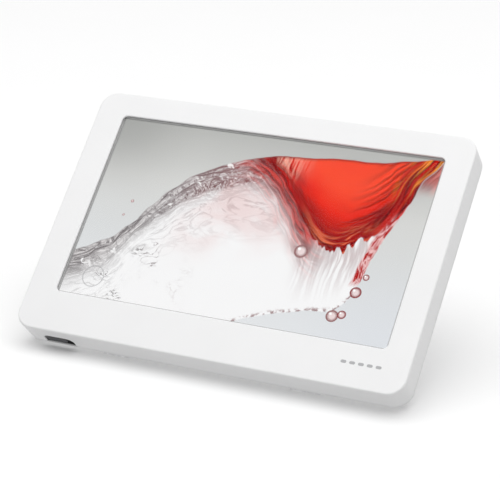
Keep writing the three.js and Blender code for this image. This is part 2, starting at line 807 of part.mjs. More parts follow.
/** The leg and its rubber pad, and the pin and washers of its hinge. */
function addLeg() {
  const end = Math.min(legReach(legOuter, 0), legReach(legInner, 0)) - 1;
  const heel = new THREE.BoxGeometry(heelWidth, heelReach, 2 * heelHalf);
  heel.translate(0, heelReach / 2, 0).rotateX(-openAngle);
  const body = legSlice(padHeight + gap, 2 * hingeHeight, legOutline(end))
    .add(axle(-barrelLength / 2, barrelLength / 2, 0, 0, barrelRadius, 24))
    .add(solid(heel))
    .subtract(axle(-barrelLength, barrelLength, 0, 0, pinRadius + gap, 16));
  addPiece('stand_leg', body, whitePlastic, leg);
  addPiece('leg_foot_pad', legSlice(0, padHeight, legOutline(end, padInset)), greyRubber, leg);
  addPiece('hinge_pin', axle(-pinLength / 2, pinLength / 2, hingeY, hingeZ, pinRadius), steel);
  for (const [name, side] of [['left', -1], ['right', 1]]) {
    const inner = side * (barrelLength / 2 + gap);
    const outer = inner + side * washerThickness;
    const low = Math.min(inner, outer);
    const high = Math.max(inner, outer);
    const ring = axle(low, high, hingeY, hingeZ, washerRadius, 20)
      .subtract(axle(low - 1, high + 1, hingeY, hingeZ, pinRadius + gap, 16));
    addPiece(`hinge_washer_${name}`, ring, steel);
  }
}

addLeg();

// ---- feet and screws --------------------------------------------------------------------

addPiece('foot_left', footBlock(-footX, 0), greyRubber);
addPiece('foot_right', footBlock(footX, 0), greyRubber);

/** Case screw with a low domed head, pointing to the front. */
function screw(x, y) {
  const profile = [
    [0, headBack],
    [headRadius * 0.8, headBack + 0.1],
    [headRadius, headBack + 0.5],
    [headRadius, headFront],
    [screwRadius, headFront],
    [screwRadius, screwTip - 0.8],
    [0, screwTip],
  ].map(([radius, z]) => new THREE.Vector2(radius, z));
  const geometry = new THREE.LatheGeometry(profile, 16);
  // a lathe turns about y: lay its axis along z, keeping the front end in front
  return solid(geometry.rotateX(Math.PI / 2).translate(x, y, 0));
}

screwPlaces.forEach(([x, y], i) => addPiece(`case_screw_${i + 1}`, screw(x, y), steel));

// ---- standing on the table --------------------------------------------------------------

slab.rotation.x = tilt;
const group = new THREE.Group();
group.add(slab);
group.updateMatrixWorld(true);
const bounds = new THREE.Box3().setFromObject(group, true);
const centre = bounds.getCenter(new THREE.Vector3());
slab.position.set(-centre.x, -centre.y, -bounds.min.z);

export default group;
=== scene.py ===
"""Digital photo frame: the visible shells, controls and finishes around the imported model."""

import json
import logging
import math
from collections.abc import Callable, Iterable, Sequence
from dataclasses import dataclass, field
from enum import Enum
from typing import Any

import bmesh
import bpy
from mathutils import Matrix, Vector


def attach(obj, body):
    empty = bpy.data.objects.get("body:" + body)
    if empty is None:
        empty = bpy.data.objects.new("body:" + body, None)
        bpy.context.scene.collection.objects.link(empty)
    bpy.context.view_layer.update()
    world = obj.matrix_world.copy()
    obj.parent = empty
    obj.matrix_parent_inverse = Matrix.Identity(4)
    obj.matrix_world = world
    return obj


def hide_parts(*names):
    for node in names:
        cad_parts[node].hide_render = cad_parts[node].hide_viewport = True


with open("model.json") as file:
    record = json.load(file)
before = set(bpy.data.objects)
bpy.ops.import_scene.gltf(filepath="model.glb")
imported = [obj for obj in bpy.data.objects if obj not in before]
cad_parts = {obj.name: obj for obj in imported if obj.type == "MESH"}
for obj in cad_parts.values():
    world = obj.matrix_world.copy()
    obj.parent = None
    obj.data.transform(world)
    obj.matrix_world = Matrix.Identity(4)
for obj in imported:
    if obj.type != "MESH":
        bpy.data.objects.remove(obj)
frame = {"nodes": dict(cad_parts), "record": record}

LOG = logging.getLogger("photo_frame")
MM = 0.001
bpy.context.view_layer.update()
CORNER_STEPS = 12  # steps in a round corner
EDGE_STEPS = 6  # steps across a rounded edge
GAP = 0.3  # clearance between pieces
SEAT = 0.06  # clearance round a seated foot
WELD = 0.0004  # corners nearer than this become one
CUT_WELD = 0.002  # the same, after cuts
SOFTEN_ANGLE = math.radians(40)  # edges bent more than this are softened
CREASE_ANGLE = math.radians(32)  # edges bent more than this shade as creases
RING_LIFT = 16.0  # spacing of outlines while they are bridged, so that none lie level
SLOT_RADIUS = 3.2  # front corner radius of the slide switch's slot
BARREL = 2.4  # radius of the leg's hinge barrel
PIN_BORE = 1.3  # radius of the holes for the hinge pin
LEG_FACES = (-2.6, 0.4)  # depth of the leg's outer and inner face from the pin

Colour = tuple[float, float, float]
Point = tuple[float, float, float]
Pair = tuple[float, float]


# ---- places ------------------------------------------------------------------------------


@dataclass(frozen=True)
class Space:
    """A millimetre frame whose x axis is the world's, turned about it by a tilt.

    Attributes:
        origin: Where the frame's zero lies in the world, in metres.
        tilt: Turn about the x axis, in radians.
    """

    origin: Vector
    tilt: float

    @property
    def matrix(self) -> Matrix:
        """From this frame's millimetres to the world's metres."""
        turn = Matrix.Rotation(self.tilt, 4, "X")
        return Matrix.Translation(self.origin) @ turn @ Matrix.Scale(MM, 4)

    def box(self, node: str) -> tuple[Vector, Vector]:
        """Lowest and highest corner of a CAD node in this frame.

        Args:
            node: The CAD node's name.

        Returns:
            The two corners, in this frame's millimetres.
        """
        back = self.matrix.inverted()
        points = [back @ v.co for v in frame["nodes"][node].data.vertices]
        low = Vector(min(p[i] for p in points) for i in range(3))
        high = Vector(max(p[i] for p in points) for i in range(3))
        return low, high


def joint(name: str) -> dict[str, Any]:
    """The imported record's entry for a joint."""
    return next(j for j in frame["record"]["behaviour"]["joints"] if j["name"] == name)


def case_space() -> Space:
    """The case's own frame: x right, y up the face, z out of the face, origin mid-face."""
    outward = Vector(joint("power_press")["axis"])
    tilt = math.atan2(-outward.y, outward.z)
    turned = Space(Vector((0, 0, 0)), tilt)
    low, high = turned.box("front_housing")
    middle = Vector(((low.x + high.x) / 2, (low.y + high.y) / 2, high.z))
    return Space(turned.matrix @ middle, tilt)


def leg_space(case: Space) -> Space:
    """The leg's frame: origin on the hinge pin, the leg running along -y.

    Args:
        case: The case's frame.

    Returns:
        The frame of the opened leg.
    """
    hinge = joint("leg_fold")
    return Space(Vector(hinge["pos_m"]), case.tilt + math.radians(hinge["range_deg"][1]))


# ---- solids ------------------------------------------------------------------------------


@dataclass(frozen=True)
class Ring:
    """A round-cornered outline at one depth of a lofted shape.

    Attributes:
        width: Size along x.
        height: Size along y.
        radius: Corner radius.
        z: Depth.
        x: Middle along x.
        y: Middle along y.
    """

    width: float
    height: float
    radius: float
    z: float
    x: float = 0.0
    y: float = 0.0

    def grown(self, by: float, z: float) -> "Ring":
        """This outline moved out by a distance, at another depth."""
        return Ring(self.width + 2 * by, self.height + 2 * by, max(self.radius + by, 0.02), z,
                    self.x, self.y)


@dataclass(frozen=True)
class Place:
    """How a finished piece joins the frame.

    Attributes:
        name: The piece's name.
        body: The CAD body that it rides on.
        slot: Name of one of the record's material slots; not used.
        replaces: The CAD nodes that it stands for.
    """

    name: str
    body: str
    slot: str
    replaces: tuple[str, ...] = ()


class Solid:
    """A closed mesh, shaped by bmesh operators and cut by other solids."""

    def __init__(self) -> None:
        """Starts with nothing."""
        self.bm = bmesh.new()

    @classmethod
    def block(cls, low: Sequence[float], high: Sequence[float]) -> "Solid":
        """A box between two corners.

        Args:
            low: The lowest corner.
            high: The highest corner.

        Returns:
            The closed solid.
        """
        solid = cls()
        bmesh.ops.create_cube(solid.bm, size=1)
        size = Vector(high) - Vector(low)
        middle = (Vector(high) + Vector(low)) / 2
        bmesh.ops.scale(solid.bm, vec=size, verts=solid.bm.verts)
        return solid.move(middle)

    @classmethod
    def rod(cls, start: Sequence[float], end: Sequence[float], radius: float,
            sides: int = 32, end_radius: float | None = None) -> "Solid":
        """A cylinder or cone between two points.

        Args:
            start: Middle of the first end.
            end: Middle of the second end.
            radius: Radius at the first end.
            sides: Number of sides.
            end_radius: Radius at the second end, where it differs.

        Returns:
            The closed solid.
        """
        solid = cls()
        run = Vector(end) - Vector(start)
        bmesh.ops.create_cone(solid.bm, cap_ends=True, segments=sides, radius1=radius,
                              radius2=radius if end_radius is None else end_radius,
                              depth=run.length)
        turn = run.to_track_quat("Z", "Y").to_matrix().to_4x4()
        middle = Matrix.Translation((Vector(start) + Vector(end)) / 2)
        bmesh.ops.transform(solid.bm, matrix=middle @ turn, verts=solid.bm.verts)
        return solid

    @classmethod
    def loft(cls, rings: Sequence[Ring], closed: bool = False,
             steps: int = CORNER_STEPS) -> "Solid":
        """Outlines joined one after another.

        Args:
            rings: The outlines in order.
            closed: Whether the last joins the first; otherwise both ends are capped.
            steps: Steps in each round corner.

        Returns:
            The closed solid.
        """
        solid = cls()
        bm = solid.bm
        outlines: list[bmesh.types.BMFace] = []
        for index, ring in enumerate(rings):
            old = set(bm.faces)
            corners = bmesh.ops.create_grid(bm, x_segments=1, y_segments=1, size=0.5)["verts"]
            bmesh.ops.scale(bm, vec=(ring.width, ring.height, 1), verts=corners)
            bmesh.ops.translate(bm, vec=(0, 0, index * RING_LIFT), verts=corners)
            bmesh.ops.bevel(bm, geom=corners, offset=ring.radius, offset_type="OFFSET",
                            segments=steps, profile=0.5, affect="VERTICES", material=-1)
            outlines.append(next(f for f in bm.faces if f not in old))
        edges = [list(face.edges) for face in outlines]
        verts = [list(face.verts) for face in outlines]
        inner = outlines if closed else outlines[1:-1]
        bmesh.ops.delete(bm, geom=inner, context="FACES_ONLY")
        for first, second in zip(edges, edges[1:] + edges[:1] if closed else edges[1:]):
            bmesh.ops.bridge_loops(bm, edges=first + second)
        for index, (ring, moved) in enumerate(zip(rings, verts)):
            down = (ring.x, ring.y, ring.z - index * RING_LIFT)
            bmesh.ops.translate(bm, vec=down, verts=moved)
        bmesh.ops.recalc_face_normals(bm, faces=bm.faces)
        return solid

    @classmethod
    def turned(cls, profile: Sequence[tuple[float, float]], middle: Sequence[float],
               steps: int = 40) -> "Solid":
        """A profile of radius and height, turned about an axis along z.

        Args:
            profile: Radius and height pairs that start and end on the axis, or close up.
            middle: A point that the axis passes through, as the profile's zero.
            steps: Steps in a full turn.

        Returns:
            The closed solid.
        """
        solid = cls()
        bm = solid.bm
        verts = [bm.verts.new((radius, 0, height)) for radius, height in profile]
        closing = [] if profile[0][0] == profile[-1][0] == 0 else [(verts[-1], verts[0])]
        edges = [bm.edges.new(pair) for pair in [*zip(verts, verts[1:]), *closing]]
        bmesh.ops.spin(bm, geom=verts + edges, cent=(0, 0, 0), axis=(0, 0, 1),
                       angle=2 * math.pi, steps=steps, use_merge=True)
        bmesh.ops.remove_doubles(bm, verts=bm.verts, dist=1e-4)
        bmesh.ops.recalc_face_normals(bm, faces=bm.faces)
        bmesh.ops.translate(bm, vec=middle, verts=bm.verts)
        return solid

    def move(self, by: Sequence[float]) -> "Solid":
        """Moves the solid."""
        bmesh.ops.translate(self.bm, vec=by, verts=self.bm.verts)
        return self

    def turn(self, degrees: float, axis: str, centre: Sequence[float] = (0, 0, 0)) -> "Solid":
        """Turns the solid about an axis through a point.

        Args:
            degrees: Angle of the turn.
            axis: Name of the axis.
            centre: A point on it.

        Returns:
            This solid.
        """
        bmesh.ops.rotate(self.bm, cent=centre, verts=self.bm.verts,
                         matrix=Matrix.Rotation(math.radians(degrees), 3, axis))
        return self

    def slice(self, point: Sequence[float], normal: Sequence[float]) -> "Solid":
        """Adds edges where a plane meets the solid.

        Args:
            point: A point of the plane.
            normal: The plane's direction.

        Returns:
            This solid.
        """
        geometry = [*self.bm.verts, *self.bm.edges, *self.bm.faces]
        bmesh.ops.bisect_plane(self.bm, geom=geometry, plane_co=point, plane_no=normal)
        return self

    def round(self, radius: float, wanted: Callable[[Vector, Vector], bool],
              steps: int = EDGE_STEPS) -> "Solid":
        """Rounds the edges that a test picks.

        Args:
            radius: Radius of the rounding.
            wanted: Called with an edge's middle and its direction.
            steps: Steps across the rounding.

        Returns:
            This solid.
        """
        edges = [
            e for e in self.bm.edges
            if wanted((e.verts[0].co + e.verts[1].co) / 2,
                      (e.verts[1].co - e.verts[0].co).normalized())
        ]
        bmesh.ops.bevel(self.bm, geom=edges, offset=radius, offset_type="OFFSET",
                        segments=steps, profile=0.5, affect="EDGES", material=-1)
        return self

    def _boolean(self, tools: Iterable["Solid"], operation: str) -> "Solid":
        """Joins or cuts this solid with others, one at a time.

        Args:
            tools: The other solids.
            operation: Name of the Boolean modifier's operation.

        Returns:
            This solid.
        """
        scene = bpy.context.scene.collection
        for tool in tools:
            meshes = [bpy.data.meshes.new("work"), bpy.data.meshes.new("tool")]
            self.bm.to_mesh(meshes[0])
            tool.bm.to_mesh(meshes[1])
            work, other = [bpy.data.objects.new(m.name, m) for m in meshes]
            scene.objects.link(work)
            scene.objects.link(other)
            modifier = work.modifiers.new("boolean", "BOOLEAN")
            modifier.operation = operation
            modifier.solver = "EXACT"
            modifier.object = other
            evaluated = work.evaluated_get(bpy.context.evaluated_depsgraph_get())
            result = bpy.data.meshes.new_from_object(evaluated)
            self.bm.clear()
            self.bm.from_mesh(result)
            for thing in (work, other):
                bpy.data.objects.remove(thing)
            for mesh in (*meshes, result):
                bpy.data.meshes.remove(mesh)
        return self

    def cut(self, *tools: "Solid") -> "Solid":
        """Takes other solids out of this one."""
        return self._boolean(tools, "DIFFERENCE")

    def join(self, *tools: "Solid") -> "Solid":
        """Adds other solids to this one."""
        return self._boolean(tools, "UNION")

    def keep(self, *tools: "Solid") -> "Solid":
        """Keeps what lies inside other solids."""
        return self._boolean(tools, "INTERSECT")

    def beside(self, *others: "Solid") -> "Solid":
        """Adds solids that don't touch this one, with no cut between them."""
        for other in others:
            mesh = bpy.data.meshes.new("beside")
            other.bm.to_mesh(mesh)
            self.bm.from_mesh(mesh)
            bpy.data.meshes.remove(mesh)
        return self

    def clean(self) -> "Solid":
        """Merges the corners that cuts have doubled and dissolves collapsed edges."""
        bmesh.ops.remove_doubles(self.bm, verts=self.bm.verts, dist=CUT_WELD)
        bmesh.ops.dissolve_degenerate(self.bm, edges=self.bm.edges, dist=CUT_WELD)
        return self

    @staticmethod
    def _softened(piece: bpy.types.Object, width: float, steps: int) -> bpy.types.Mesh:
        """Rounds a piece's sharp edges a little and welds what that collapses.

        Args:
            piece: The piece, whose mesh is replaced.
            width: Width of the rounding.
            steps: Steps across it.

        Returns:
            The piece's new mesh.
        """
        sharp = piece.data
        modifier = piece.modifiers.new("edges", "BEVEL")
        modifier.width = width
        modifier.segments = steps
        modifier.limit_method = "ANGLE"
        modifier.angle_limit = SOFTEN_ANGLE
        modifier.miter_outer = "MITER_ARC"
        evaluated = piece.evaluated_get(bpy.context.evaluated_depsgraph_get())
        mesh = bpy.data.meshes.new_from_object(evaluated)
        piece.modifiers.clear()
        piece.data = mesh
        bpy.data.meshes.remove(sharp)
        mesh.name = piece.name
        bm = bmesh.new()
        bm.from_mesh(mesh)
        bmesh.ops.remove_doubles(bm, verts=bm.verts, dist=WELD)
        bmesh.ops.dissolve_degenerate(bm, edges=bm.edges, dist=WELD / 2)
        bm.to_mesh(mesh)
        bm.free()
        return mesh

    def publish(self, space: Space, place: Place, finish: "Finish",
                soften: float = 0.12, soften_steps: int = 2) -> bpy.types.Object:
        """Makes the finished piece and gives it to the frame.

        Args:
            space: The frame that the solid was drawn in.
            place: Its name, body and slot, and what it replaces.
            finish: Its finish.
            soften: Width of the small rounding on sharp edges; 0 leaves them sharp.
            soften_steps: Steps across that rounding.

        Returns:
            The piece, in world metres.
        """
        mesh = bpy.data.meshes.new(place.name)
        self.bm.to_mesh(mesh)
        self.bm.free()
        piece = bpy.data.objects.new(place.name, mesh)
        bpy.context.scene.collection.objects.link(piece)
        if soften:
            mesh = self._softened(piece, soften, soften_steps)
        mesh.transform(space.matrix)
        mesh.shade_smooth()
        mesh.set_sharp_from_angle(angle=CREASE_ANGLE)
        # large flat faces keep their own normal, so that the rounding beside them doesn't streak
        level = piece.modifiers.new("flats", "WEIGHTED_NORMAL")
        level.mode = "FACE_AREA"
        level.keep_sharp = True
        mesh.materials.clear()
        mesh.materials.append(finish.material(space))
        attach(piece, place.body)
        if place.replaces:
            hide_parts(*place.replaces)
        LOG.info("%s: %d faces", place.name, len(mesh.polygons))
        return piece


def arc(radius: float, steps: int = EDGE_STEPS) -> list[Pair]:
    """Points of a quarter round.

    Args:
        radius: Its radius.
        steps: Steps from end to end.

    Returns:
        Pairs of how far in the outline is and how far the depth has gone, from the face
        (fully in, no depth) to the wall (not in, full depth).
    """
    turns = [math.pi / 2 * i / steps for i in range(steps + 1)]
    return [(radius * (1 - math.sin(a)), radius * (1 - math.cos(a))) for a in turns]


# ---- shader nodes ------------------------------------------------------------------------


class Term:
    """A shader socket that takes part in Python arithmetic."""

    def __init__(self, graph: "Graph", socket: bpy.types.NodeSocket) -> None:
        """Wraps a socket of a graph."""
        self.graph = graph
        self.socket = socket

    def _math(self, operation: str, *values: "Term | float") -> "Term":
        """One Math node on the given values."""
        return self.graph.node("ShaderNodeMath", {"operation": operation}, dict(enumerate(values)))

    def __add__(self, other: "Term | float") -> "Term":
        """Sum."""
        return self._math("ADD", self, other)

    __radd__ = __add__

    def __sub__(self, other: "Term | float") -> "Term":
        """Difference."""
        return self._math("SUBTRACT", self, other)

    def __rsub__(self, other: float) -> "Term":
        """Difference from a number."""
        return self._math("SUBTRACT", other, self)

    def __mul__(self, other: "Term | float") -> "Term":
        """Product."""
        return self._math("MULTIPLY", self, other)

    __rmul__ = __mul__

    def __truediv__(self, other: "Term | float") -> "Term":
        """Quotient."""
        return self._math("DIVIDE", self, other)

    def __abs__(self) -> "Term":
        """Size without sign."""
        return self._math("ABSOLUTE", self)

    def most(self, other: "Term | float") -> "Term":
        """The larger of two."""
        return self._math("MAXIMUM", self, other)

    def sine(self) -> "Term":
        """Sine."""
        return self._math("SINE", self)

    def fraction(self) -> "Term":
        """What is left after the whole number."""
        return self._math("FRACT", self)

    def rise(self, low: float, high: float) -> "Term":
        """A smooth step, which falls where low is above high.

        Args:
            low: Where the step is 0.
            high: Where it is 1.

        Returns:
            The step.
        """
        if low > high:
            return 1 - self.rise(high, low)
        return self.graph.node(
            "ShaderNodeMapRange", {"interpolation_type": "SMOOTHSTEP"},
            {"Value": self, "From Min": low, "From Max": high})


class Graph:
    """A material's node tree around one Principled shader."""

    def __init__(self, name: str) -> None:
        """Makes an empty material.

        Args:
            name: The material's name.
        """
        self.material = bpy.data.materials.new(name)
        self.material.use_nodes = True
        self.nodes = self.material.node_tree.nodes
        self.nodes.clear()
        self.output = self.nodes.new("ShaderNodeOutputMaterial")
        self.shader = self.nodes.new("ShaderNodeBsdfPrincipled")
        self.link(self.shader.outputs[0], self.output.inputs["Surface"])

    def link(self, source: bpy.types.NodeSocket, target: bpy.types.NodeSocket) -> None:
        """Links two sockets."""
        self.material.node_tree.links.new(source, target)

    def feed(self, socket: bpy.types.NodeSocket, value: Any) -> None:
        """Sets or links one input.

        Args:
            socket: The input.
            value: A term to link, or a number, vector or colour to set.
        """
        if isinstance(value, Term):
            self.link(value.socket, socket)
        elif socket.type == "RGBA":
            socket.default_value = (*value, 1)
        else:
            socket.default_value = value

    def node(self, kind: str, settings: dict[str, Any] | None = None,
             inputs: dict[str | int, Any] | None = None, output: str | int = 0) -> Term:
        """Adds a node.

        Args:
            kind: The node's type.
            settings: Its properties; stops are a ramp's positions and colours, and ease is
                how it runs between them.
            inputs: Values or terms for its sockets, by name or number.
            output: Which output the term stands for.

        Returns:
            The output as a term.
        """
        made = self.nodes.new(kind)
        for name, value in (settings or {}).items():
            if name == "ease":
                made.color_ramp.interpolation = value
            elif name == "stops":
                ramp = made.color_ramp.elements
                while len(ramp) < len(value):
                    ramp.new(1)
                for element, (place, colour) in zip(ramp, value):
                    element.position = place
                    element.color = (*colour, 1)
            else:
                setattr(made, name, value)
        for name, value in (inputs or {}).items():
            self.feed(made.inputs[name], value)
        return Term(self, made.outputs[output])

    def surface(self, **values: Any) -> None:
        """Sets or links the Principled shader's inputs, spaces written as underscores."""
        for name, value in values.items():
            self.feed(self.shader.inputs[name.replace("_", " ")], value)

    def place(self, space: Space, scale: Sequence[float] = (1, 1, 1)) -> Term:
        """Position in a frame's millimetres, each axis divided by a scale.

        Args:
            space: The frame.
            scale: Stretch of the pattern along each axis.

        Returns:
            The position as a vector term.
        """
        where = self.node("ShaderNodeTexCoord", output="Object")
        return self.node("ShaderNodeMapping", {"vector_type": "TEXTURE"}, {
            "Vector": where,
            "Location": space.origin,
            "Rotation": (space.tilt, 0, 0),
            "Scale": [MM * s for s in scale],
        })

    def axis(self, where: Term, name: str) -> Term:
        """One coordinate of a position."""
        return self.node("ShaderNodeSeparateXYZ", inputs={"Vector": where}, output=name)

    def noise(self, where: Term, scale: float, detail: float = 2, distortion: float = 0,
              colour: bool = False) -> Term:
        """Noise at a position.

        Args:
            where: The position.
            scale: Features per unit of the position.
            detail: Finer layers on top.
            distortion: How much the pattern is warped.
            colour: Whether three noises are given in place of one.

        Returns:
            The noise.
        """
        return self.node("ShaderNodeTexNoise", {}, {
            "Vector": where, "Scale": scale, "Detail": detail, "Distortion": distortion,
        }, "Color" if colour else "Fac")

    def cells(self, where: Term, scale: float, feature: str = "F1") -> Term:
        """Distance to the points or borders of scattered cells."""
        return self.node("ShaderNodeTexVoronoi", {"feature": feature},
                         {"Vector": where, "Scale": scale}, "Distance")

    def mix(self, factor: Term | float, first: Any, second: Any, blend: str = "MIX") -> Term:
        """Blends two colours."""
        return self.node("ShaderNodeMix", {"data_type": "RGBA", "blend_type": blend},
                         {0: factor, 6: first, 7: second}, 2)

    def shift(self, where: Term, by: Term, amount: float) -> Term:
        """Moves a position by a colour's difference from middle grey.

        Args:
            where: The position.
            by: The colour.
            amount: What the difference is multiplied by.

        Returns:
            The moved position.
        """
        centred = self.node("ShaderNodeVectorMath", {"operation": "SUBTRACT"},
                            {0: by, 1: (0.5, 0.5, 0.5)})
        return self.node("ShaderNodeVectorMath", {"operation": "MULTIPLY_ADD"},
                         {0: centred, 1: (amount, amount, amount), 2: where})

    def bump(self, height: Term, depth: float) -> None:
        """Feeds the shader's normal from a height.

        Args:
            height: Height between 0 and 1.
            depth: What a height of 1 means, in millimetres.
        """
        self.surface(Normal=self.node("ShaderNodeBump", {}, {
            "Strength": 1, "Distance": depth * MM, "Height": height}))


# ---- finishes ----------------------------------------------------------------------------


class Finish:
    """A named finish that makes its material once for each frame it is used in."""

    name: str
    _made: dict[tuple[Any, ...], bpy.types.Material] = {}

    def paint(self, graph: Graph, space: Space) -> None:
        """Builds the nodes.

        Args:
            graph: The material's graph.
            space: The frame whose millimetres the patterns use.
        """
        raise NotImplementedError

    def material(self, space: Space) -> bpy.types.Material:
        """The material for pieces drawn in a frame.

        Args:
            space: The frame.

        Returns:
            The material, made once.
        """
        key = (self, tuple(space.origin), space.tilt)
        if key not in self._made:
            graph = Graph(self.name)
            self.paint(graph, space)
            self._made[key] = graph.material
        return self._made[key]


@dataclass(frozen=True)
class Moulded(Finish):
    """Moulded plastic with a fine eroded texture and a little handling gloss.

    Attributes:
        name: The finish's name.
        colour: Base colour.
        roughness: Middle roughness.
        grain: Texture points per millimetre.
        depth: Texture depth in millimetres.
        coat: Weight of the clear top gloss.
    """

    name: str
    colour: Colour
    roughness: float = 0.36
    grain: float = 2.6
    depth: float = 0.006
    coat: float = 0.0

    def paint(self, graph: Graph, space: Space) -> None:
        """Slow tint and gloss drift over a fine pebbled bump."""
        where = graph.place(space)
        drift = graph.noise(where, 0.035, 3)
        handled = graph.noise(where, 0.12, 4, 0.6)
        pebble = graph.cells(where, self.grain, "SMOOTH_F1")
        dust = graph.noise(where, 5.5, 1)
        darker = tuple(c * 0.985 for c in self.colour)
        tint = graph.mix(drift.rise(0.35, 0.7), self.colour, darker)
        specks = dust.rise(0.74, 0.8) * 0.2
        speck = tuple(c * 0.9 for c in self.colour)
        graph.surface(
            Base_Color=graph.mix(specks, tint, speck),
            Roughness=handled * 0.08 + (self.roughness - 0.04) + pebble * 0.04,
            Coat_Weight=self.coat,
            Coat_Roughness=0.12,
            IOR=1.5,
        )
        graph.bump(pebble + dust * 0.4, self.depth)


@dataclass(frozen=True)
class Rubber(Finish):
    """Soft silicone, matt with a dusty bloom.

    Attributes:
        name: The finish's name.
        colour: Base colour.
    """

    name: str
    colour: Colour

    def paint(self, graph: Graph, space: Space) -> None:
        """A bloom in patches over a fine bump."""
        where = graph.place(space)
        bloom = graph.noise(where, 0.5, 4, 0.4)
        fine = graph.noise(where, 6, 2)
        pale = tuple(min(1.0, c * 1.2 + 0.03) for c in self.colour)
        graph.surface(
            Base_Color=graph.mix(bloom.rise(0.4, 0.75), self.colour, pale),
            Roughness=bloom * 0.2 + 0.68,
        )
        graph.bump(fine, 0.02)


@dataclass(frozen=True)
class Metal(Finish):
    """Plain, plated or brushed metal.

    Attributes:
        name: The finish's name.
        colour: Base colour.
        roughness: Middle roughness.
        stretch: Length of the brush marks against their width.
    """

    name: str
    colour: Colour
    roughness: float = 0.28
    stretch: float = 14.0

    def paint(self, graph: Graph, space: Space) -> None:
        """Brush marks along x with patches of duller plating."""
        where = graph.place(space, (self.stretch, 1, 1))
        marks = graph.noise(where, 7, 3)
        patches = graph.noise(graph.place(space), 0.35, 3, 0.5)
        dull = tuple(c * 0.8 for c in self.colour)
        graph.surface(
            Base_Color=graph.mix(patches.rise(0.4, 0.75), self.colour, dull),
            Metallic=1.0,
            Roughness=marks * 0.16 + patches * 0.12 + (self.roughness - 0.12),
        )
        graph.bump(marks, 0.006)


@dataclass(frozen=True)
class Board(Finish):
    """Circuit board: solder mask over traces, with tinned pads.

    Attributes:
        name: The finish's name.
        mask: Colour of the solder mask.
    """

    name: str = "solder_mask"
    mask: Colour = (0.015, 0.12, 0.045)

    def paint(self, graph: Graph, space: Space) -> None:
        """Blocky copper areas and right-angled traces, with rows of pads."""
        where = graph.place(space)
        x, y = graph.axis(where, "X"), graph.axis(where, "Y")
        blocks = graph.node("ShaderNodeTexVoronoi", {"distance": "CHEBYCHEV"},
                            {"Vector": where, "Scale": 0.16}, "Distance")
        traces = (blocks * 9).fraction()
        copper = traces.rise(0.42, 0.5) * traces.rise(0.92, 0.84)
        grid_x = abs((x * 0.4).fraction() - 0.5)
        grid_y = abs((y * 0.4).fraction() - 0.5)
        pads = grid_x.rise(0.16, 0.13) * grid_y.rise(0.22, 0.19)
        rows = graph.noise(where, 0.09, 1).rise(0.56, 0.58)
        tin = pads * rows
        pale = tuple(c * 2.1 + 0.01 for c in self.mask)
        green = graph.mix(copper, self.mask, pale)
        graph.surface(
            Base_Color=graph.mix(tin, green, (0.72, 0.71, 0.68)),
            Metallic=tin,
            Roughness=0.42 - tin * 0.15 + graph.noise(where, 1.5, 2) * 0.1,
        )
        graph.bump(copper * 0.5 + tin, 0.035)


@dataclass(frozen=True)
class Ribbon(Finish):
    """Amber ribbon with copper conductors under its film.

    Attributes:
        name: The finish's name.
        pitch: Distance between conductors in millimetres.
    """

    name: str = "ribbon_film"
    pitch: float = 0.5

    def paint(self, graph: Graph, space: Space) -> None:
        """Conductors run along the ribbon, side by side in x."""
        where = graph.place(space)
        wave = (graph.axis(where, "X") / self.pitch).fraction()
        copper = wave.rise(0.3, 0.38) * wave.rise(0.9, 0.82)
        graph.surface(
            Base_Color=graph.mix(copper, (0.52, 0.22, 0.03), (0.3, 0.1, 0.015)),
            Roughness=graph.noise(where, 1, 2) * 0.15 + 0.22,
            Coat_Weight=0.4,
        )
        graph.bump(copper, 0.03)


@dataclass(frozen=True)
class Woven(Finish):
    """Fine black cloth stretched behind a grille, or a paper cone.

    Attributes:
        name: The finish's name.
        colour: Thread colour.
        threads: Threads per millimetre.
    """

    name: str
    colour: Colour
    threads: float = 3.0

    def paint(self, graph: Graph, space: Space) -> None:
        """Two crossing sets of threads."""
        where = graph.place(space)
        turns = 2 * math.pi * self.threads
        warp = (graph.axis(where, "X") * turns).sine()
        weft = (graph.axis(where, "Y") * turns).sine()
        weave = (warp * weft) * 0.5 + 0.5
        pale = tuple(c * 2.2 + 0.01 for c in self.colour)
        graph.surface(
            Base_Color=graph.mix(weave, self.colour, pale),
            Roughness=graph.noise(where, 2, 2) * 0.1 + 0.82,
        )
        graph.bump(weave, 0.06)


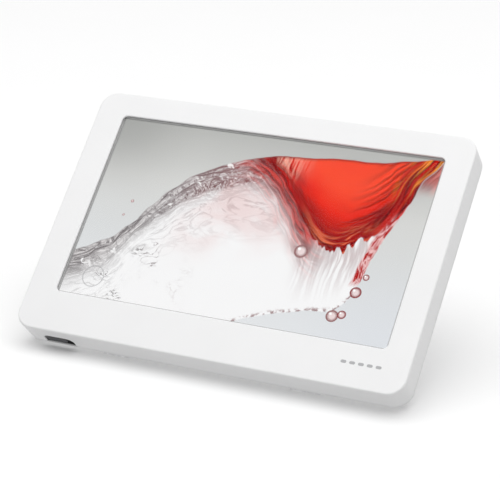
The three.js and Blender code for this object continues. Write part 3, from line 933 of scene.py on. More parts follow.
@dataclass(frozen=True)
class ClearPane(Finish):
    """Clear hard-coated sheet with a thin grey line of painted shade just inside the window,
    standing in for the shadow of the bezel's lip.

    Attributes:
        name: The finish's name.
        middle: Middle of the window in the case's millimetres.
        size: Width and height of the window.
        line: How far the painted shade line reaches into the window.
        gloss: Share of the mirror-like reflection that is kept.
        blur: Half the width of the painted shade line's soft edge.
    """

    name: str
    middle: Pair
    size: Pair
    line: float = 0.7
    gloss: float = 0.12
    blur: float = 0.08

    def paint(self, graph: Graph, space: Space) -> None:
        """A see-through shader mixed with a gloss by angle, and with a painted shade line at the
        edge.
        """
        where = graph.place(space)
        smudge = graph.noise(where, 0.05, 5, 1.2)
        clear = graph.node("ShaderNodeBsdfTransparent", {}, {"Color": (0.99, 0.99, 0.99)})
        shine = graph.node("ShaderNodeBsdfGlossy", {}, {"Color": (1, 1, 1), "Roughness": 0.04})
        # both faces of the sheet reflect alike, which the Fresnel node's inner side doesn't give
        facing = graph.node("ShaderNodeLayerWeight", {}, {"Blend": 0.5}, "Facing")
        square = facing * facing
        mirror = square * square * facing * 0.965 + 0.035
        share = mirror * (smudge * 0.2 + (self.gloss - 0.1))
        glazed = graph.node("ShaderNodeMixShader", {}, {0: share, 1: clear, 2: shine})
        across = abs(graph.axis(where, "X") - self.middle[0]) - self.size[0] / 2
        down = abs(graph.axis(where, "Y") - self.middle[1]) - self.size[1] / 2
        # painted shade: a soft grey line just inside the window's edge, in place of the shadow of
        # the bezel's lip; its grey comes from the Principled shader below
        painted_shade_line = across.most(down).rise(-self.line - self.blur, -self.line + self.blur)
        graph.surface(Base_Color=graph.mix(smudge, (0.46, 0.46, 0.46), (0.5, 0.5, 0.5)),
                      Roughness=0.6)
        mixed = graph.node("ShaderNodeMixShader", {}, {
            0: painted_shade_line * 0.75, 1: glazed, 2: Term(graph, graph.shader.outputs[0])})
        graph.link(mixed.socket, graph.output.inputs["Surface"])


@dataclass(frozen=True)
class Picture(Finish):
    """The lit display: an abstract wave of clear water that carries a red swirl.

    Places are in window heights from the window's lower left corner.

    Attributes:
        name: The finish's name.
        left: The window's left edge in the case's millimetres.
        bottom: The window's lower edge.
        height: The window's height.
        width: The window's width in window heights.
        crest: The wave's upper edge, as places across and heights.
        ridge: The red swirl's lower edge.
        toe: The wave's lower edge.
        rim: The wave's right edge, as heights and places across.
        drops: Place and radius of each drop.
        edge: Softness of the outlines.
    """

    name: str
    left: float
    bottom: float
    height: float
    width: float
    crest: tuple[Pair, ...] = (
        (0, 0.25), (0.1, 0.3), (0.2, 0.37), (0.27, 0.49), (0.34, 0.6), (0.44, 0.71), (0.56, 0.8),
        (0.7, 0.86), (0.85, 0.9), (1.1, 0.93), (1.4, 0.955), (1.62, 0.985), (1.72, 1.0))
    ridge: tuple[Pair, ...] = (
        (0.74, 0.91), (0.86, 0.84), (0.96, 0.75), (1.06, 0.64), (1.15, 0.53), (1.21, 0.47),
        (1.28, 0.445), (1.35, 0.465), (1.42, 0.52), (1.48, 0.58), (1.56, 0.66), (1.72, 0.8))
    toe: tuple[Pair, ...] = (
        (0.5, 0.0), (0.88, 0.0), (0.96, 0.03), (1.08, 0.08), (1.25, 0.125), (1.4, 0.15),
        (1.47, 0.23), (1.52, 0.34), (1.72, 0.6))
    rim: tuple[Pair, ...] = (
        (0, 1.36), (0.12, 1.43), (0.2, 1.465), (0.3, 1.48), (0.45, 1.5), (0.6, 1.545),
        (0.75, 1.6), (0.88, 1.65), (1.0, 1.71))
    drops: tuple[tuple[float, float, float], ...] = (
        (1.478, 0.262, 0.028), (1.402, 0.128, 0.03), (1.446, 0.142, 0.021), (1.505, 0.345, 0.016),
        (1.152, 0.425, 0.034), (0.205, 0.55, 0.008), (0.185, 0.47, 0.006))
    edge: float = 0.008

    def paint(self, graph: Graph, space: Space) -> None:
        """Backdrop, water, red swirl, its ribbon and the drops, in layers."""
        flat = graph.node("ShaderNodeMapping", {"vector_type": "TEXTURE"}, {
            "Vector": graph.place(space),
            "Location": (self.left, self.bottom, 0),
            "Scale": (self.height, self.height, 1e4),
        })
        warp = graph.noise(flat, 3, 4, 0, True)
        bent = graph.shift(flat, warp, 0.07)
        x, y = graph.axis(bent, "X"), graph.axis(bent, "Y")
        depth = self.along(graph, x, self.crest) - y
        above = y - self.along(graph, x, self.ridge)
        lift = y - self.along(graph, x, self.toe)
        inside = self.along(graph, y, self.rim, 1.0) - x
        body = depth.rise(0, self.edge) * inside.rise(0, self.edge) * lift.rise(0, self.edge)
        water = self.water(graph, flat, (x, y), (depth, above, lift))
        picture = graph.mix(body, self.backdrop(graph, flat), water)
        picture = self.swirl(graph, flat, (x, y), (depth, above, inside), picture)
        picture = self.beads(graph, flat, picture)
        graph.surface(
            Base_Color=(0.002, 0.002, 0.002),
            Roughness=graph.noise(flat, 2, 2) * 0.05 + 0.55,
            Specular_IOR_Level=0.02,
            Emission_Color=picture,
            Emission_Strength=1.0,
        )

    def along(self, graph: Graph, place: Term, points: tuple[Pair, ...],
              span: float = 0.0) -> Term:
        """A smooth curve's value at a place.

        Args:
            graph: The material's graph.
            place: Where along the curve.
            points: The curve's points, places first.
            span: Length of the curve, if it isn't the window's width.

        Returns:
            The value, with its colour's grey taken as the number.
        """
        length = span or self.width
        # a ramp holds values up to one, so they are kept as shares of the window's width
        stops = [(at / length, (value / self.width,) * 3) for at, value in points]
        ramp = graph.node("ShaderNodeValToRGB", {"stops": stops, "ease": "CARDINAL"},
                          {"Fac": place / length})
        return ramp * self.width

    def strands(self, graph: Graph, across: Term, down: Term, scale: Pair,
                width: float, twist: float = 0.8) -> Term:
        """Thin wavy lines that follow a direction.

        Args:
            graph: The material's graph.
            across: Distance along the lines.
            down: Distance across them.
            scale: Features per window height along and across.
            width: Share of the pattern that is line.
            twist: How wavy they are.

        Returns:
            1 on a line, 0 between.
        """
        where = graph.node("ShaderNodeCombineXYZ", {}, {"X": across * scale[0],
                                                        "Y": down * scale[1]})
        return abs(graph.noise(where, 1, 5, twist) - 0.5).rise(width, 0.0)

    def backdrop(self, graph: Graph, flat: Term) -> Term:
        """A cool grey wash that grows pale towards the lower right.

        Args:
            graph: The material's graph.
            flat: Position on the display.

        Returns:
            The wash's colour.
        """
        x, y = graph.axis(flat, "X"), graph.axis(flat, "Y")
        fall = y + x * 0.03 + graph.noise(flat, 1.3, 2) * 0.06 - 0.03
        wash = graph.node("ShaderNodeValToRGB", {"stops": [
            (0.0, (0.78, 0.80, 0.82)),
            (0.4, (0.70, 0.715, 0.72)),
            (0.7, (0.67, 0.675, 0.66)),
            (1.0, (0.49, 0.495, 0.48)),
        ]}, {"Fac": fall})
        corner = x.rise(0.5, 0.0) * y.rise(0.5, 1.0) * 0.7
        wash = graph.mix(corner, wash, (0.34, 0.345, 0.335))
        return graph.mix(x.rise(1.1, 1.7) * y.rise(0.5, 0.0) * 0.6, wash, (0.70, 0.73, 0.78))

    def water(self, graph: Graph, flat: Term, place: tuple[Term, Term],
              edges: tuple[Term, Term, Term]) -> Term:
        """Clear water: white, with dark strands along its crest and under the swirl.

        Args:
            graph: The material's graph.
            flat: Place on the picture.
            place: The same, bent by the waves, as two terms.
            edges: Distance under the crest, above the ridge and above the toe.

        Returns:
            The water's colour.
        """
        x, y = place
        depth, above, lift = edges
        body = graph.mix(depth.rise(0.0, 0.22), (0.78, 0.75, 0.75), (0.93, 0.93, 0.935))
        blush = x.rise(0.35, 0.75) * depth.rise(0.02, 0.14) * depth.rise(0.62, 0.3)
        cloud = graph.noise(flat, 4, 4, 1).rise(0.32, 0.62)
        body = graph.mix(blush * cloud * 0.6, body, (0.80, 0.56, 0.55))
        strand = self.strands(graph, x + y * 0.6, depth, (2.6, 15), 0.08)
        braid = self.strands(graph, x, y, (12, 12), 0.06, 2.2)
        fine = self.strands(graph, x, depth, (6, 34), 0.1, 1.6)
        near = depth.rise(0.27, 0.04)
        knot = self.strands(graph, x, y, (20, 20), 0.1, 2.5) * abs(depth - 0.11).rise(0.06, 0.02)
        patch = graph.noise(flat, 5.5, 2).rise(0.5, 0.62)
        loose = self.strands(graph, x, y, (8, 12), 0.035, 3) * patch * x.rise(0.75, 0.3)
        ink = (strand * 0.95).most(fine * 0.6).most(braid * 0.85) * near
        ink = ink.most(knot * x.rise(0.2, 0.4) * x.rise(0.95, 0.8))
        folds = self.strands(graph, x + y, depth, (3.4, 9), 0.05, 1.8) * depth.rise(0.55, 0.2)
        ink = ink.most(folds * x.rise(1.15, 0.9) * 0.3)
        ink = ink.most(loose).most(depth.rise(0.02, 0.0) * 0.6)
        links = graph.noise(flat, 38, 2).rise(0.45, 0.6)
        chain = lift.rise(0.03, 0.006) * x.rise(0.8, 0.9) * links
        ink = ink.most(chain * 0.8)
        veil = self.strands(graph, y, x, (2.2, 30), 0.13, 0.4) * x.rise(1.1, 1.25)
        ink = ink.most(veil * lift.rise(0.02, 0.3) * 0.4)
        tone = graph.mix(x.rise(0.25, 0.8), (0.13, 0.115, 0.12), (0.20, 0.05, 0.055))
        body = graph.mix(ink, body, tone)
        glint = graph.noise(graph.shift(flat, graph.noise(flat, 6, 3, 0, True), 0.1), 17, 3, 1)
        body = graph.mix(glint.rise(0.62, 0.68) * near * 0.85, body, (1, 1, 1))
        fold = above.rise(-0.24, -0.05) * x.rise(0.6, 0.8) * x.rise(1.3, 1.14)
        grain = self.strands(graph, x - y, above, (2.4, 26), 0.12)
        glass = graph.mix(grain, (0.62, 0.1, 0.09), (0.2, 0.006, 0.01))
        streak = self.strands(graph, x - y, above, (2.0, 17), 0.05, 0.4)
        glass = graph.mix(streak * 0.6, glass, (0.95, 0.75, 0.74))
        body = graph.mix(fold * cloud.most(0.7), body, glass)
        lip = above.rise(-0.12, -0.03) * x.rise(0.66, 0.8) * x.rise(1.26, 1.12)
        wet = graph.mix(grain.most(streak * 0.5), (0.58, 0.03, 0.022), (0.16, 0.004, 0.006))
        return graph.mix(lip * 0.85, body, wet)

    def swirl(self, graph: Graph, flat: Term, place: tuple[Term, Term],
              edges: tuple[Term, Term, Term], under: Term) -> Term:
        """The red swirl and the ribbon down its right edge.

        Args:
            graph: The material's graph.
            flat: Place on the picture.
            place: The same, bent by the waves, as two terms.
            edges: Distance under the crest, above the ridge and inside the rim.
            under: The colour so far.

        Returns:
            The colour with the swirl over it.
        """
        x, y = place
        depth, above, inside = edges
        spikes = graph.node("ShaderNodeCombineXYZ", {}, {"X": x * 30, "Y": y * 2.5})
        ragged = above + (graph.noise(spikes, 1, 2) - 0.5) * x.rise(1.12, 1.3) * 0.16
        cover = depth.rise(0, self.edge) * ragged.rise(0, 0.01) * inside.rise(0, self.edge)
        cover = cover * x.rise(0.74, 0.8)
        glow = graph.noise(flat, 1.9, 3, 1.0) * 0.6 + above.rise(0, 0.4) * 0.5 - depth * 0.3 + 0.02
        red = graph.node("ShaderNodeValToRGB", {"stops": [
            (0.1, (0.22, 0.001, 0.001)),
            (0.3, (0.5, 0.003, 0.002)),
            (0.5, (0.82, 0.018, 0.005)),
            (0.8, (0.95, 0.065, 0.022)),
        ]}, {"Fac": glow})
        flow = self.strands(graph, x - y, above, (2.2, 17), 0.1, 1.4)
        hem = above.rise(0.2, 0.0)
        red = graph.mix((flow * hem).most(flow * inside.rise(0.34, 0.1)) * 0.85, red,
                        (0.11, 0.001, 0.003))
        gleam = self.strands(graph, x + y, above, (3, 23), 0.06, 1) * above.rise(0.16, 0.05)
        red = graph.mix(gleam * x.rise(1.05, 1.25) * 0.7, red, (0.95, 0.2, 0.08))
        shine = self.strands(graph, y, x, (2.5, 19), 0.12, 1.6) * x.rise(1.12, 0.9)
        shine = shine * above.rise(0.02, 0.1) * depth.rise(0.2, 0.05)
        red = graph.mix(shine * 0.75, red, (1.0, 0.55, 0.42))
        red = graph.mix(depth.rise(0.025, 0.004) * 0.7, red, (0.2, 0.01, 0.012))
        streak = self.strands(graph, y, inside, (2.6, 17), 0.13, 0.9)
        band = inside.rise(0.17, 0.05) * y.rise(0.5, 0.66)
        fire = graph.mix(streak, (0.6, 0.012, 0.008), (0.10, 0.0, 0.002))
        hot = self.strands(graph, y, inside, (2.2, 15), 0.07, 0.8) * y.rise(0.7, 0.95)
        fire = graph.mix(hot * 0.9, fire, (1.0, 0.36, 0.04))
        red = graph.mix(band, red, fire)
        picture = graph.mix(cover, under, red)
        thin = inside.rise(0.0, 0.006) * inside.rise(0.05, 0.038) * y.rise(0.27, 0.31)
        bead = self.strands(graph, y, inside, (9, 34), 0.09, 1.4)
        cord = graph.mix(bead, (0.45, 0.01, 0.01), (0.86, 0.55, 0.55))
        picture = graph.mix(thin * y.rise(0.72, 0.6), picture, cord)
        back = inside.rise(-0.1, -0.09) * inside.rise(0.004, -0.004)
        back = back * (y - 0.62 - x * 0.1).rise(0, 0.1)
        shade = graph.mix(streak, (0.62, 0.16, 0.14), (0.26, 0.02, 0.02))
        return graph.mix(back * depth.rise(-0.02, 0.0) * 0.92, picture, shade)

    def beads(self, graph: Graph, flat: Term, under: Term) -> Term:
        """Round drops: a dark rim, a pale core and a glint; and one thin ring of film.

        Args:
            graph: The material's graph.
            flat: Place on the picture.
            under: The colour so far.

        Returns:
            The colour with the drops over it.
        """

        def away(x: float, y: float) -> Term:
            """Distance from a place."""
            return graph.node("ShaderNodeVectorMath", {"operation": "DISTANCE"},
                              {0: flat, 1: (x, y, 0)}, "Value")

        picture = under
        for x, y, size in self.drops:
            centre, glint = away(x, y), away(x - size * 0.35, y + size * 0.35)
            rim = (0.24, 0.015, 0.02) if size < 0.03 else (0.28, 0.12, 0.12)
            inside = graph.mix(centre.rise(size * 0.35, size * 0.95), (0.84, 0.70, 0.70), rim)
            lit = graph.mix(glint.rise(size * 0.34, size * 0.12), inside, (1, 1, 1))
            picture = graph.mix(centre.rise(size * 1.06, size * 0.96), picture, lit)
        film = abs(away(0.15, 0.12) - 0.055).rise(0.006, 0.0)
        return graph.mix(film * 0.5, picture, (0.3, 0.3, 0.31))


@dataclass(frozen=True)
class Floor(Finish):
    """Pale studio sweep.

    Attributes:
        name: The finish's name.
        colour: Base colour.
    """

    name: str = "studio_floor"
    colour: Colour = (0.93, 0.93, 0.93)

    def paint(self, graph: Graph, space: Space) -> None:
        """Very faint mottling."""
        where = graph.place(space)
        patch = graph.noise(where, 0.01, 2)
        graph.surface(
            Base_Color=graph.mix(patch, self.colour, tuple(c * 0.985 for c in self.colour)),
            Roughness=0.9,
            Specular_IOR_Level=0.1,
        )


WHITE = Moulded("case_plastic", (0.865, 0.865, 0.868), 0.34, coat=0.12)
LEG_WHITE = Moulded("leg_plastic", (0.83, 0.83, 0.835), 0.42, 2.0, 0.01)
BUTTON_WHITE = Moulded("button_plastic", (0.8, 0.8, 0.805), 0.3, 3.4, 0.004, 0.2)
KNOB_GREY = Moulded("knob_plastic", (0.105, 0.106, 0.11), 0.5, 3.0, 0.01)
BLACK = Moulded("black_plastic", (0.018, 0.018, 0.02), 0.52, 2.2, 0.015)
LINER = Moulded("liner_plastic", (0.06, 0.06, 0.063), 0.6, 2.2, 0.012)
GOLD = Metal("gold_plate", (0.83, 0.6, 0.22), 0.2, 4)
LED_WHITE = Moulded("led_bar_plastic", (0.82, 0.82, 0.76), 0.6, 1.5, 0.01)
GUIDE = Moulded("light_guide_acrylic", (0.84, 0.87, 0.88), 0.12, 1.1, 0.02, 0.5)
CHIP = Moulded("chip_epoxy", (0.02, 0.02, 0.022), 0.6, 4.5, 0.012)
GASKET = Rubber("gasket_foam", (0.4, 0.4, 0.4))
FEET = Rubber("foot_silicone", (0.76, 0.76, 0.77))
STEEL = Metal("zinc_plate", (0.68, 0.68, 0.69))
TRAY = Metal("tray_steel", (0.62, 0.63, 0.64), 0.34, 22)
TIN = Metal("tin_plate", (0.7, 0.69, 0.66), 0.3, 6)
DOME = Metal("dome_steel", (0.66, 0.66, 0.65), 0.24, 3)
CLOTH = Woven("grille_cloth", (0.012, 0.012, 0.013))
CONE = Woven("cone_paper", (0.03, 0.03, 0.032), 1.6)
MARK_GREY = Moulded("mark_ink", (0.44, 0.44, 0.45), 0.5, 3, 0.002)


def dress(node: str, finish: Finish, space: Space) -> None:
    """Gives a CAD node that stays in view its finish.

    Args:
        node: The node's name.
        finish: Its finish.
        space: The frame of the finish's pattern.
    """
    shown = frame["nodes"][node]
    if not shown.material_slots:
        shown.data.materials.append(None)
    for slot in shown.material_slots:
        slot.material = finish.material(space)
    LOG.info("%s: CAD shape kept", node)


# ---- the case ----------------------------------------------------------------------------


@dataclass
class CaseShells:
    """The front housing and the rear cover.

    Attributes:
        case: The case's frame.
        radius: Corner radius of the outline.
        wall: Wall thickness.
        bezel: Thickness of the bezel.
        front_edge: Rounding from the face to the walls.
        rear_edge: Rounding from the walls to the back.
        chamfer: Rounding of the window's mouth.
        lip: Thickness of the bezel in front of the pane.
        window_radius: Corner radius of the window.
        slot_front: Depth at which the slide switch's slot starts.
        recess_wall: Thickness of the walls around the leg's recess.
        screw_seat: Depth of the seats for the screw heads.
        screw_hole: Radius of the screw holes.
        post: Radius of the posts that the screws bite into.
        grille: Slots in a speaker grille, their pitch and width.
        vents: Slots in the vent, their pitch, width and height.
        vent_drop: Distance from the top edge to the vent's middle.
        scoop: Width, radius and depth of the finger scoop at the recess's end.
        boss: Radius of the bosses round the screws in the cover.
        head_seat: Radius of the seats for the screw heads.
        button_corner: Corner radius of the button holes.
        overlap: How far the pane reaches past the window.
        outline: The case's outline, from the frame.
        window: The window's outline, from the frame.
        end: Depth at which the housing ends.
        seam: Depth of the seam.
        back: Depth of the back.
    """

    case: Space
    radius: float = 8.0
    wall: float = 2.0
    bezel: float = 2.3
    front_edge: float = 0.8
    rear_edge: float = 3.4
    chamfer: float = 0.35
    lip: float = 0.8
    window_radius: float = 2.4
    slot_front: float = 6.0
    recess_wall: float = 1.5
    screw_seat: float = 2.0
    screw_hole: float = 1.3
    post: float = 2.2
    grille: tuple[int, float, float] = (6, 2.8, 1.3)
    vents: tuple[int, float, float, float] = (9, 5.0, 1.6, 7.0)
    vent_drop: float = 18.65
    scoop: tuple[float, float, float] = (18.0, 8.0, 2.8)
    boss: float = 3.6
    head_seat: float = 2.1
    button_corner: float = 2.6
    overlap: float = 2.5
    outline: Ring = field(init=False)
    window: Ring = field(init=False)
    end: float = field(init=False)
    seam: float = field(init=False)
    back: float = field(init=False)

    def __post_init__(self) -> None:
        """Reads the outline and the window from the frame."""
        low, high = self.case.box("front_housing")
        self.outline = Ring(high.x - low.x, high.y - low.y, self.radius, 0)
        self.end = low.z
        self.seam = self.case.box("rear_cover")[0].z + self.rear_edge
        self.back = self.seam - self.rear_edge
        low, high = self.case.box("window_pane")
        self.window = Ring(high.x - low.x - 2 * self.overlap, high.y - low.y - 2 * self.overlap,
                           self.window_radius, 0, (low.x + high.x) / 2, (low.y + high.y) / 2)

    def socket_rooms(self) -> list[Solid]:
        """Clearance around each socket, through the wall and the cover's lip."""
        rooms = []
        for node in ("sd_card_socket", "usb_socket", "dc_inlet"):
            low, high = self.case.box(node)
            reach = -self.outline.width / 2 + self.wall + 1.6
            rooms.append(Solid.block((low.x - 3, low.y - GAP, self.seam - 0.001),
                                     (reach, high.y + GAP, high.z + GAP))
                         .round(0.5, lambda m, d: abs(d.x) > 0.9 and m.z > self.end, 3))
        return rooms

    def slide_opening(self) -> Solid:
        """The slide switch's slot: round in front, open towards the seam."""
        low, high = self.case.box("power_slider")
        travel = joint("power_slide")["range_m"][1] / MM
        bottom = -self.outline.height / 2
        slot = Solid.block((low.x - GAP, bottom - 1, self.seam - 1),
                           (high.x + GAP + travel, bottom + self.wall + 1, -self.slot_front))
        return slot.round(SLOT_RADIUS, lambda m, d: abs(d.y) > 0.9 and m.z > self.end, 10)

    def screw_axes(self) -> list[tuple[float, float, float]]:
        """Where the case screws are, and how far their tips reach."""
        boxes = [self.case.box(f"case_screw_{i}") for i in range(1, 6)]
        return [((a.x + b.x) / 2, (a.y + b.y) / 2, b.z) for a, b in boxes]

    def front_housing(self) -> None:
        """The bezel and side walls, lofted round their section and cut for switch and sockets."""
        inner = self.outline.grown(-self.wall, 0)
        face = [self.outline.grown(-i, -d) for i, d in arc(self.front_edge)]
        mouth = [self.window.grown(i, -d) for i, d in reversed(arc(self.chamfer, 3))]
        rings = [
            *face,
            self.outline.grown(0, self.end),
            inner.grown(0, self.end),
            inner.grown(0, -self.bezel),
            self.window.grown(self.overlap + GAP, -self.bezel),
            self.window.grown(self.overlap + GAP, -self.lip),
            self.window.grown(0, -self.lip),
            *mouth,
        ]
        shell = Solid.loft(rings, closed=True)
        for x, y, tip in self.screw_axes():
            shell.join(Solid.rod((x, y, self.end), (x, y, GAP - self.bezel), self.post, 24))
            shell.cut(Solid.rod((x, y, self.end - 1), (x, y, tip + GAP), self.screw_hole, 20))
        shell.cut(self.slide_opening(), *self.socket_rooms())
        shell.clean().publish(self.case, Place("housing_front", "case", "case_white",
                                               ("front_housing",)), WHITE, 0.1)

    def recess_end(self) -> float:
        """Height at which the leg's recess ends, under the folded pad."""
        low, high = self.case.box("hinge_pin")
        return (low.y + high.y) / 2 + leg_space(self.case).box("leg_foot_pad")[0].y - 2 * GAP

    def stakes(self) -> list[Solid]:
        """Heat stakes that carry the boards: a shoulder behind each and a tip through it."""
        main, main_top = self.case.box("main_board")
        switch, switch_top = self.case.box("switch_board")
        buttons, buttons_top = self.case.box("button_board")
        row = self.case.box("button_power")
        inset, shoulder, column = 3.5, 1.8, 24.0
        level = (row[0].y + row[1].y) / 2
        places = [(x, y) for x in (main.x + column, main_top.x - inset)
                  for y in (main.y + inset, main_top.y - inset)]
        places += [(x, switch_top.y - inset) for x in (switch.x + inset, switch_top.x - inset)]
        edge = GAP + shoulder
        places += [(x, level) for x in (buttons.x + edge, buttons_top.x - edge)]
        start = self.back + 1
        rest, tip = main.z - 0.25 - start, main_top.z + GAP - start
        profile = [(0, 0), (shoulder, 0), (shoulder, rest), (0.8, rest), (0.8, tip - 0.2),
                   (0.6, tip), (0, tip)]
        return [Solid.turned(profile, (x, y, start), 20) for x, y in places]

    def leg_room(self, grow: float, depth: float) -> list[Solid]:
        """The hinge trough and the leg's recess, grown sideways and inwards.

        Args:
            grow: How far past the clear space its sides lie.
            depth: How far past the clear space its floors lie.

        Returns:
            The trough and the recess.
        """
        pin_low, pin_high = self.case.box("hinge_pin")
        axis = (pin_low + pin_high) / 2
        washer = self.case.box("hinge_washer_right")[1].x + GAP
        top = axis.y + 3.5 + grow
        half = leg_space(self.case).box("stand_leg")[1].x
        back = self.back - 1 if grow == 0 else self.back + 0.8
        trough = Solid.block((-washer - grow, axis.y - BARREL - GAP - grow, back),
                             (washer + grow, top, axis.z + BARREL + GAP + depth))
        recess = Solid.block((-half - grow, self.recess_end() - grow, back),
                             (half + grow, top - 0.01, axis.z + LEG_FACES[1] + GAP + depth))
        return [trough, recess]

    def slots(self, count: int, pitch: float, width: float, x: float, y: float,
              reach: Callable[[float], float]) -> list[Solid]:
        """Upright slots with round ends, through the rear cover.

        Args:
            count: How many.
            pitch: Distance between them.
            width: Their width.
            x: Middle of the row.
            y: Height of the row's middle.
            reach: Gives a slot's height from its distance to the middle.

        Returns:
            The cutters.
        """
        cutters = []
        for index in range(count):
            off = (index - (count - 1) / 2) * pitch
            ring = Ring(width, reach(off), width / 2 - 0.01, self.back - 1, x + off, y)
            cutters.append(Solid.loft([ring, ring.grown(0, self.back + self.wall + 0.6)], steps=4))
        return cutters

    def rear_cover(self) -> None:
        """The rear cover: rounded dish, lip, leg recess, grilles, vents and button holes."""
        back, seam = self.back, self.seam
        inside = back + self.wall
        outer = [self.outline.grown(-i, back + d) for i, d in arc(self.rear_edge, 10)]
        lip = self.outline.grown(-self.wall - GAP, 0)
        inner = lip.grown(-1, 0)
        dish = Solid.loft([
            *outer,
            lip.grown(0, seam),
            lip.grown(0, seam + 1.2),
            inner.grown(0, seam + 1.2),
            inner.grown(0, inside + 0.8),
            inner.grown(-0.8, inside),
        ])
        dish.join(*self.leg_room(self.recess_wall, self.recess_wall))
        low, high = self.case.box("foot_left")
        side = self.recess_wall
        for x in (low.x, -high.x):
            dish.join(Solid.block((x - side, low.y + 1.4, back + 1),
                                  (x + high.x - low.x + side, high.y + 1.6, seam - 0.4)))
        axes = [(x, y) for x, y, _ in self.screw_axes()]
        dish.join(*[Solid.rod((x, y, back + 1), (x, y, seam), self.boss) for x, y in axes])
        dish.join(*self.stakes())
        width, radius, depth = self.scoop
        end = self.recess_end()
        dish.join(Solid.block((-width / 2 - self.recess_wall, end - radius, back + 0.9),
                              (width / 2 + self.recess_wall, end - 0.01,
                               back + depth + self.recess_wall)))
        dish.cut(*self.leg_room(0, 0))
        self.cut_details(dish, axes)
        dish.clean().publish(self.case, Place("cover_rear", "case", "case_white",
                                              ("rear_cover",)), WHITE, 0.1)

    def cut_details(self, dish: Solid, axes: list[tuple[float, float]]) -> None:
        """Cuts everything but the leg's recess out of the rear cover.

        Args:
            dish: The cover so far.
            axes: Where the screws are.
        """
        back, seam = self.back, self.seam
        width, radius, depth = self.scoop
        end = self.recess_end()
        dish.cut(Solid.rod((-width / 2, end, back + depth - radius),
                           (width / 2, end, back + depth - radius), radius, 64))
        pin_low, pin_high = self.case.box("hinge_pin")
        axis = (pin_low + pin_high) / 2
        dish.cut(Solid.rod((pin_low.x - GAP, axis.y, axis.z), (pin_high.x + GAP, axis.y, axis.z),
                           PIN_BORE, 24))
        level = Space(self.case.origin, 0)
        for node in ("foot_left", "foot_right"):
            low, high = level.box(node)
            pocket = Solid.block(low - Vector((SEAT, SEAT, 2)), high + Vector((SEAT, SEAT, SEAT)))
            dish.cut(pocket.turn(-math.degrees(self.case.tilt), "X"))
        for x, y in axes:
            dish.cut(Solid.rod((x, y, back - 1), (x, y, back + self.screw_seat), self.head_seat))
        dish.cut(*[Solid.rod((x, y, back), (x, y, seam + 2), self.screw_hole) for x, y in axes])
        for name in PushButtons.names:
            low, high = self.case.box(f"button_{name}")
            ring = Ring(high.x - low.x - 2 + 2 * GAP, high.y - low.y - 2 + 2 * GAP,
                        self.button_corner, back - 1, (low.x + high.x) / 2, (low.y + high.y) / 2)
            dish.cut(Solid.loft([ring, ring.grown(0, back + self.wall + 1)], steps=8))
        count, pitch, slot_width = self.grille
        for side in ("left", "right"):
            low, high = self.case.box(f"speaker_{side}")
            reach = (high.x - low.x) / 2 - 1.5
            middle = (low + high) / 2
            dish.cut(*self.slots(count, pitch, slot_width, middle.x, middle.y,
                                 lambda off, r=reach: 2 * math.sqrt(r * r - off * off)))
        number, step, vent_width, vent_height = self.vents
        dish.cut(*self.slots(number, step, vent_width, 0, self.outline.height / 2 - self.vent_drop,
                             lambda off: vent_height))
        for room in self.socket_rooms():
            dish.cut(room.move((self.wall + 2.6, 0, 0)))
        low, high = self.case.box("slider_liner")
        dish.cut(Solid.block((low.x - GAP, low.y - 0.1, seam + 0.01),
                             (high.x + GAP, high.y + 5, 0)))

    def build(self) -> None:
        """Makes both shells."""
        self.front_housing()
        self.rear_cover()


# ---- the display -------------------------------------------------------------------------


@dataclass
class Display:
    """Window pane, display panel and what lies behind it.

    Attributes:
        case: The case's frame.
        window: The window's outline.
        pane_radius: Corner radius of the pane.
    """

    case: Space
    window: Ring
    pane_radius: float = 2.7

    def build(self) -> None:
        """Makes the pane and the lit panel, and dresses the rest."""
        low, high = self.case.box("window_pane")
        middle = (low + high) / 2
        ring = Ring(high.x - low.x, high.y - low.y, self.pane_radius, low.z, middle.x, middle.y)
        pane = Solid.loft([ring, ring.grown(0, high.z)])
        glazing = ClearPane("clear_pane", (self.window.x, self.window.y),
                            (self.window.width, self.window.height))
        pane.publish(self.case, Place("pane_clear", "case", "window_clear", ("window_pane",)),
                     glazing, 0.08)
        low, high = self.case.box("lcd_panel")
        panel = Solid.block(low, high)
        left = self.window.x - self.window.width / 2
        bottom = self.window.y - self.window.height / 2
        height = self.window.height
        picture = Picture("display_picture", left, bottom, height, self.window.width / height)
        panel.publish(self.case, Place("panel_lit", "case", "display_picture", ("lcd_panel",)),
                      picture, 0.05)
        dress("window_gasket", GASKET, self.case)
        dress("light_guide", GUIDE, self.case)
        dress("backlight_led_bar", LED_WHITE, self.case)
        dress("backlight_frame", TRAY, self.case)
        dress("display_flex", Ribbon(), self.case)


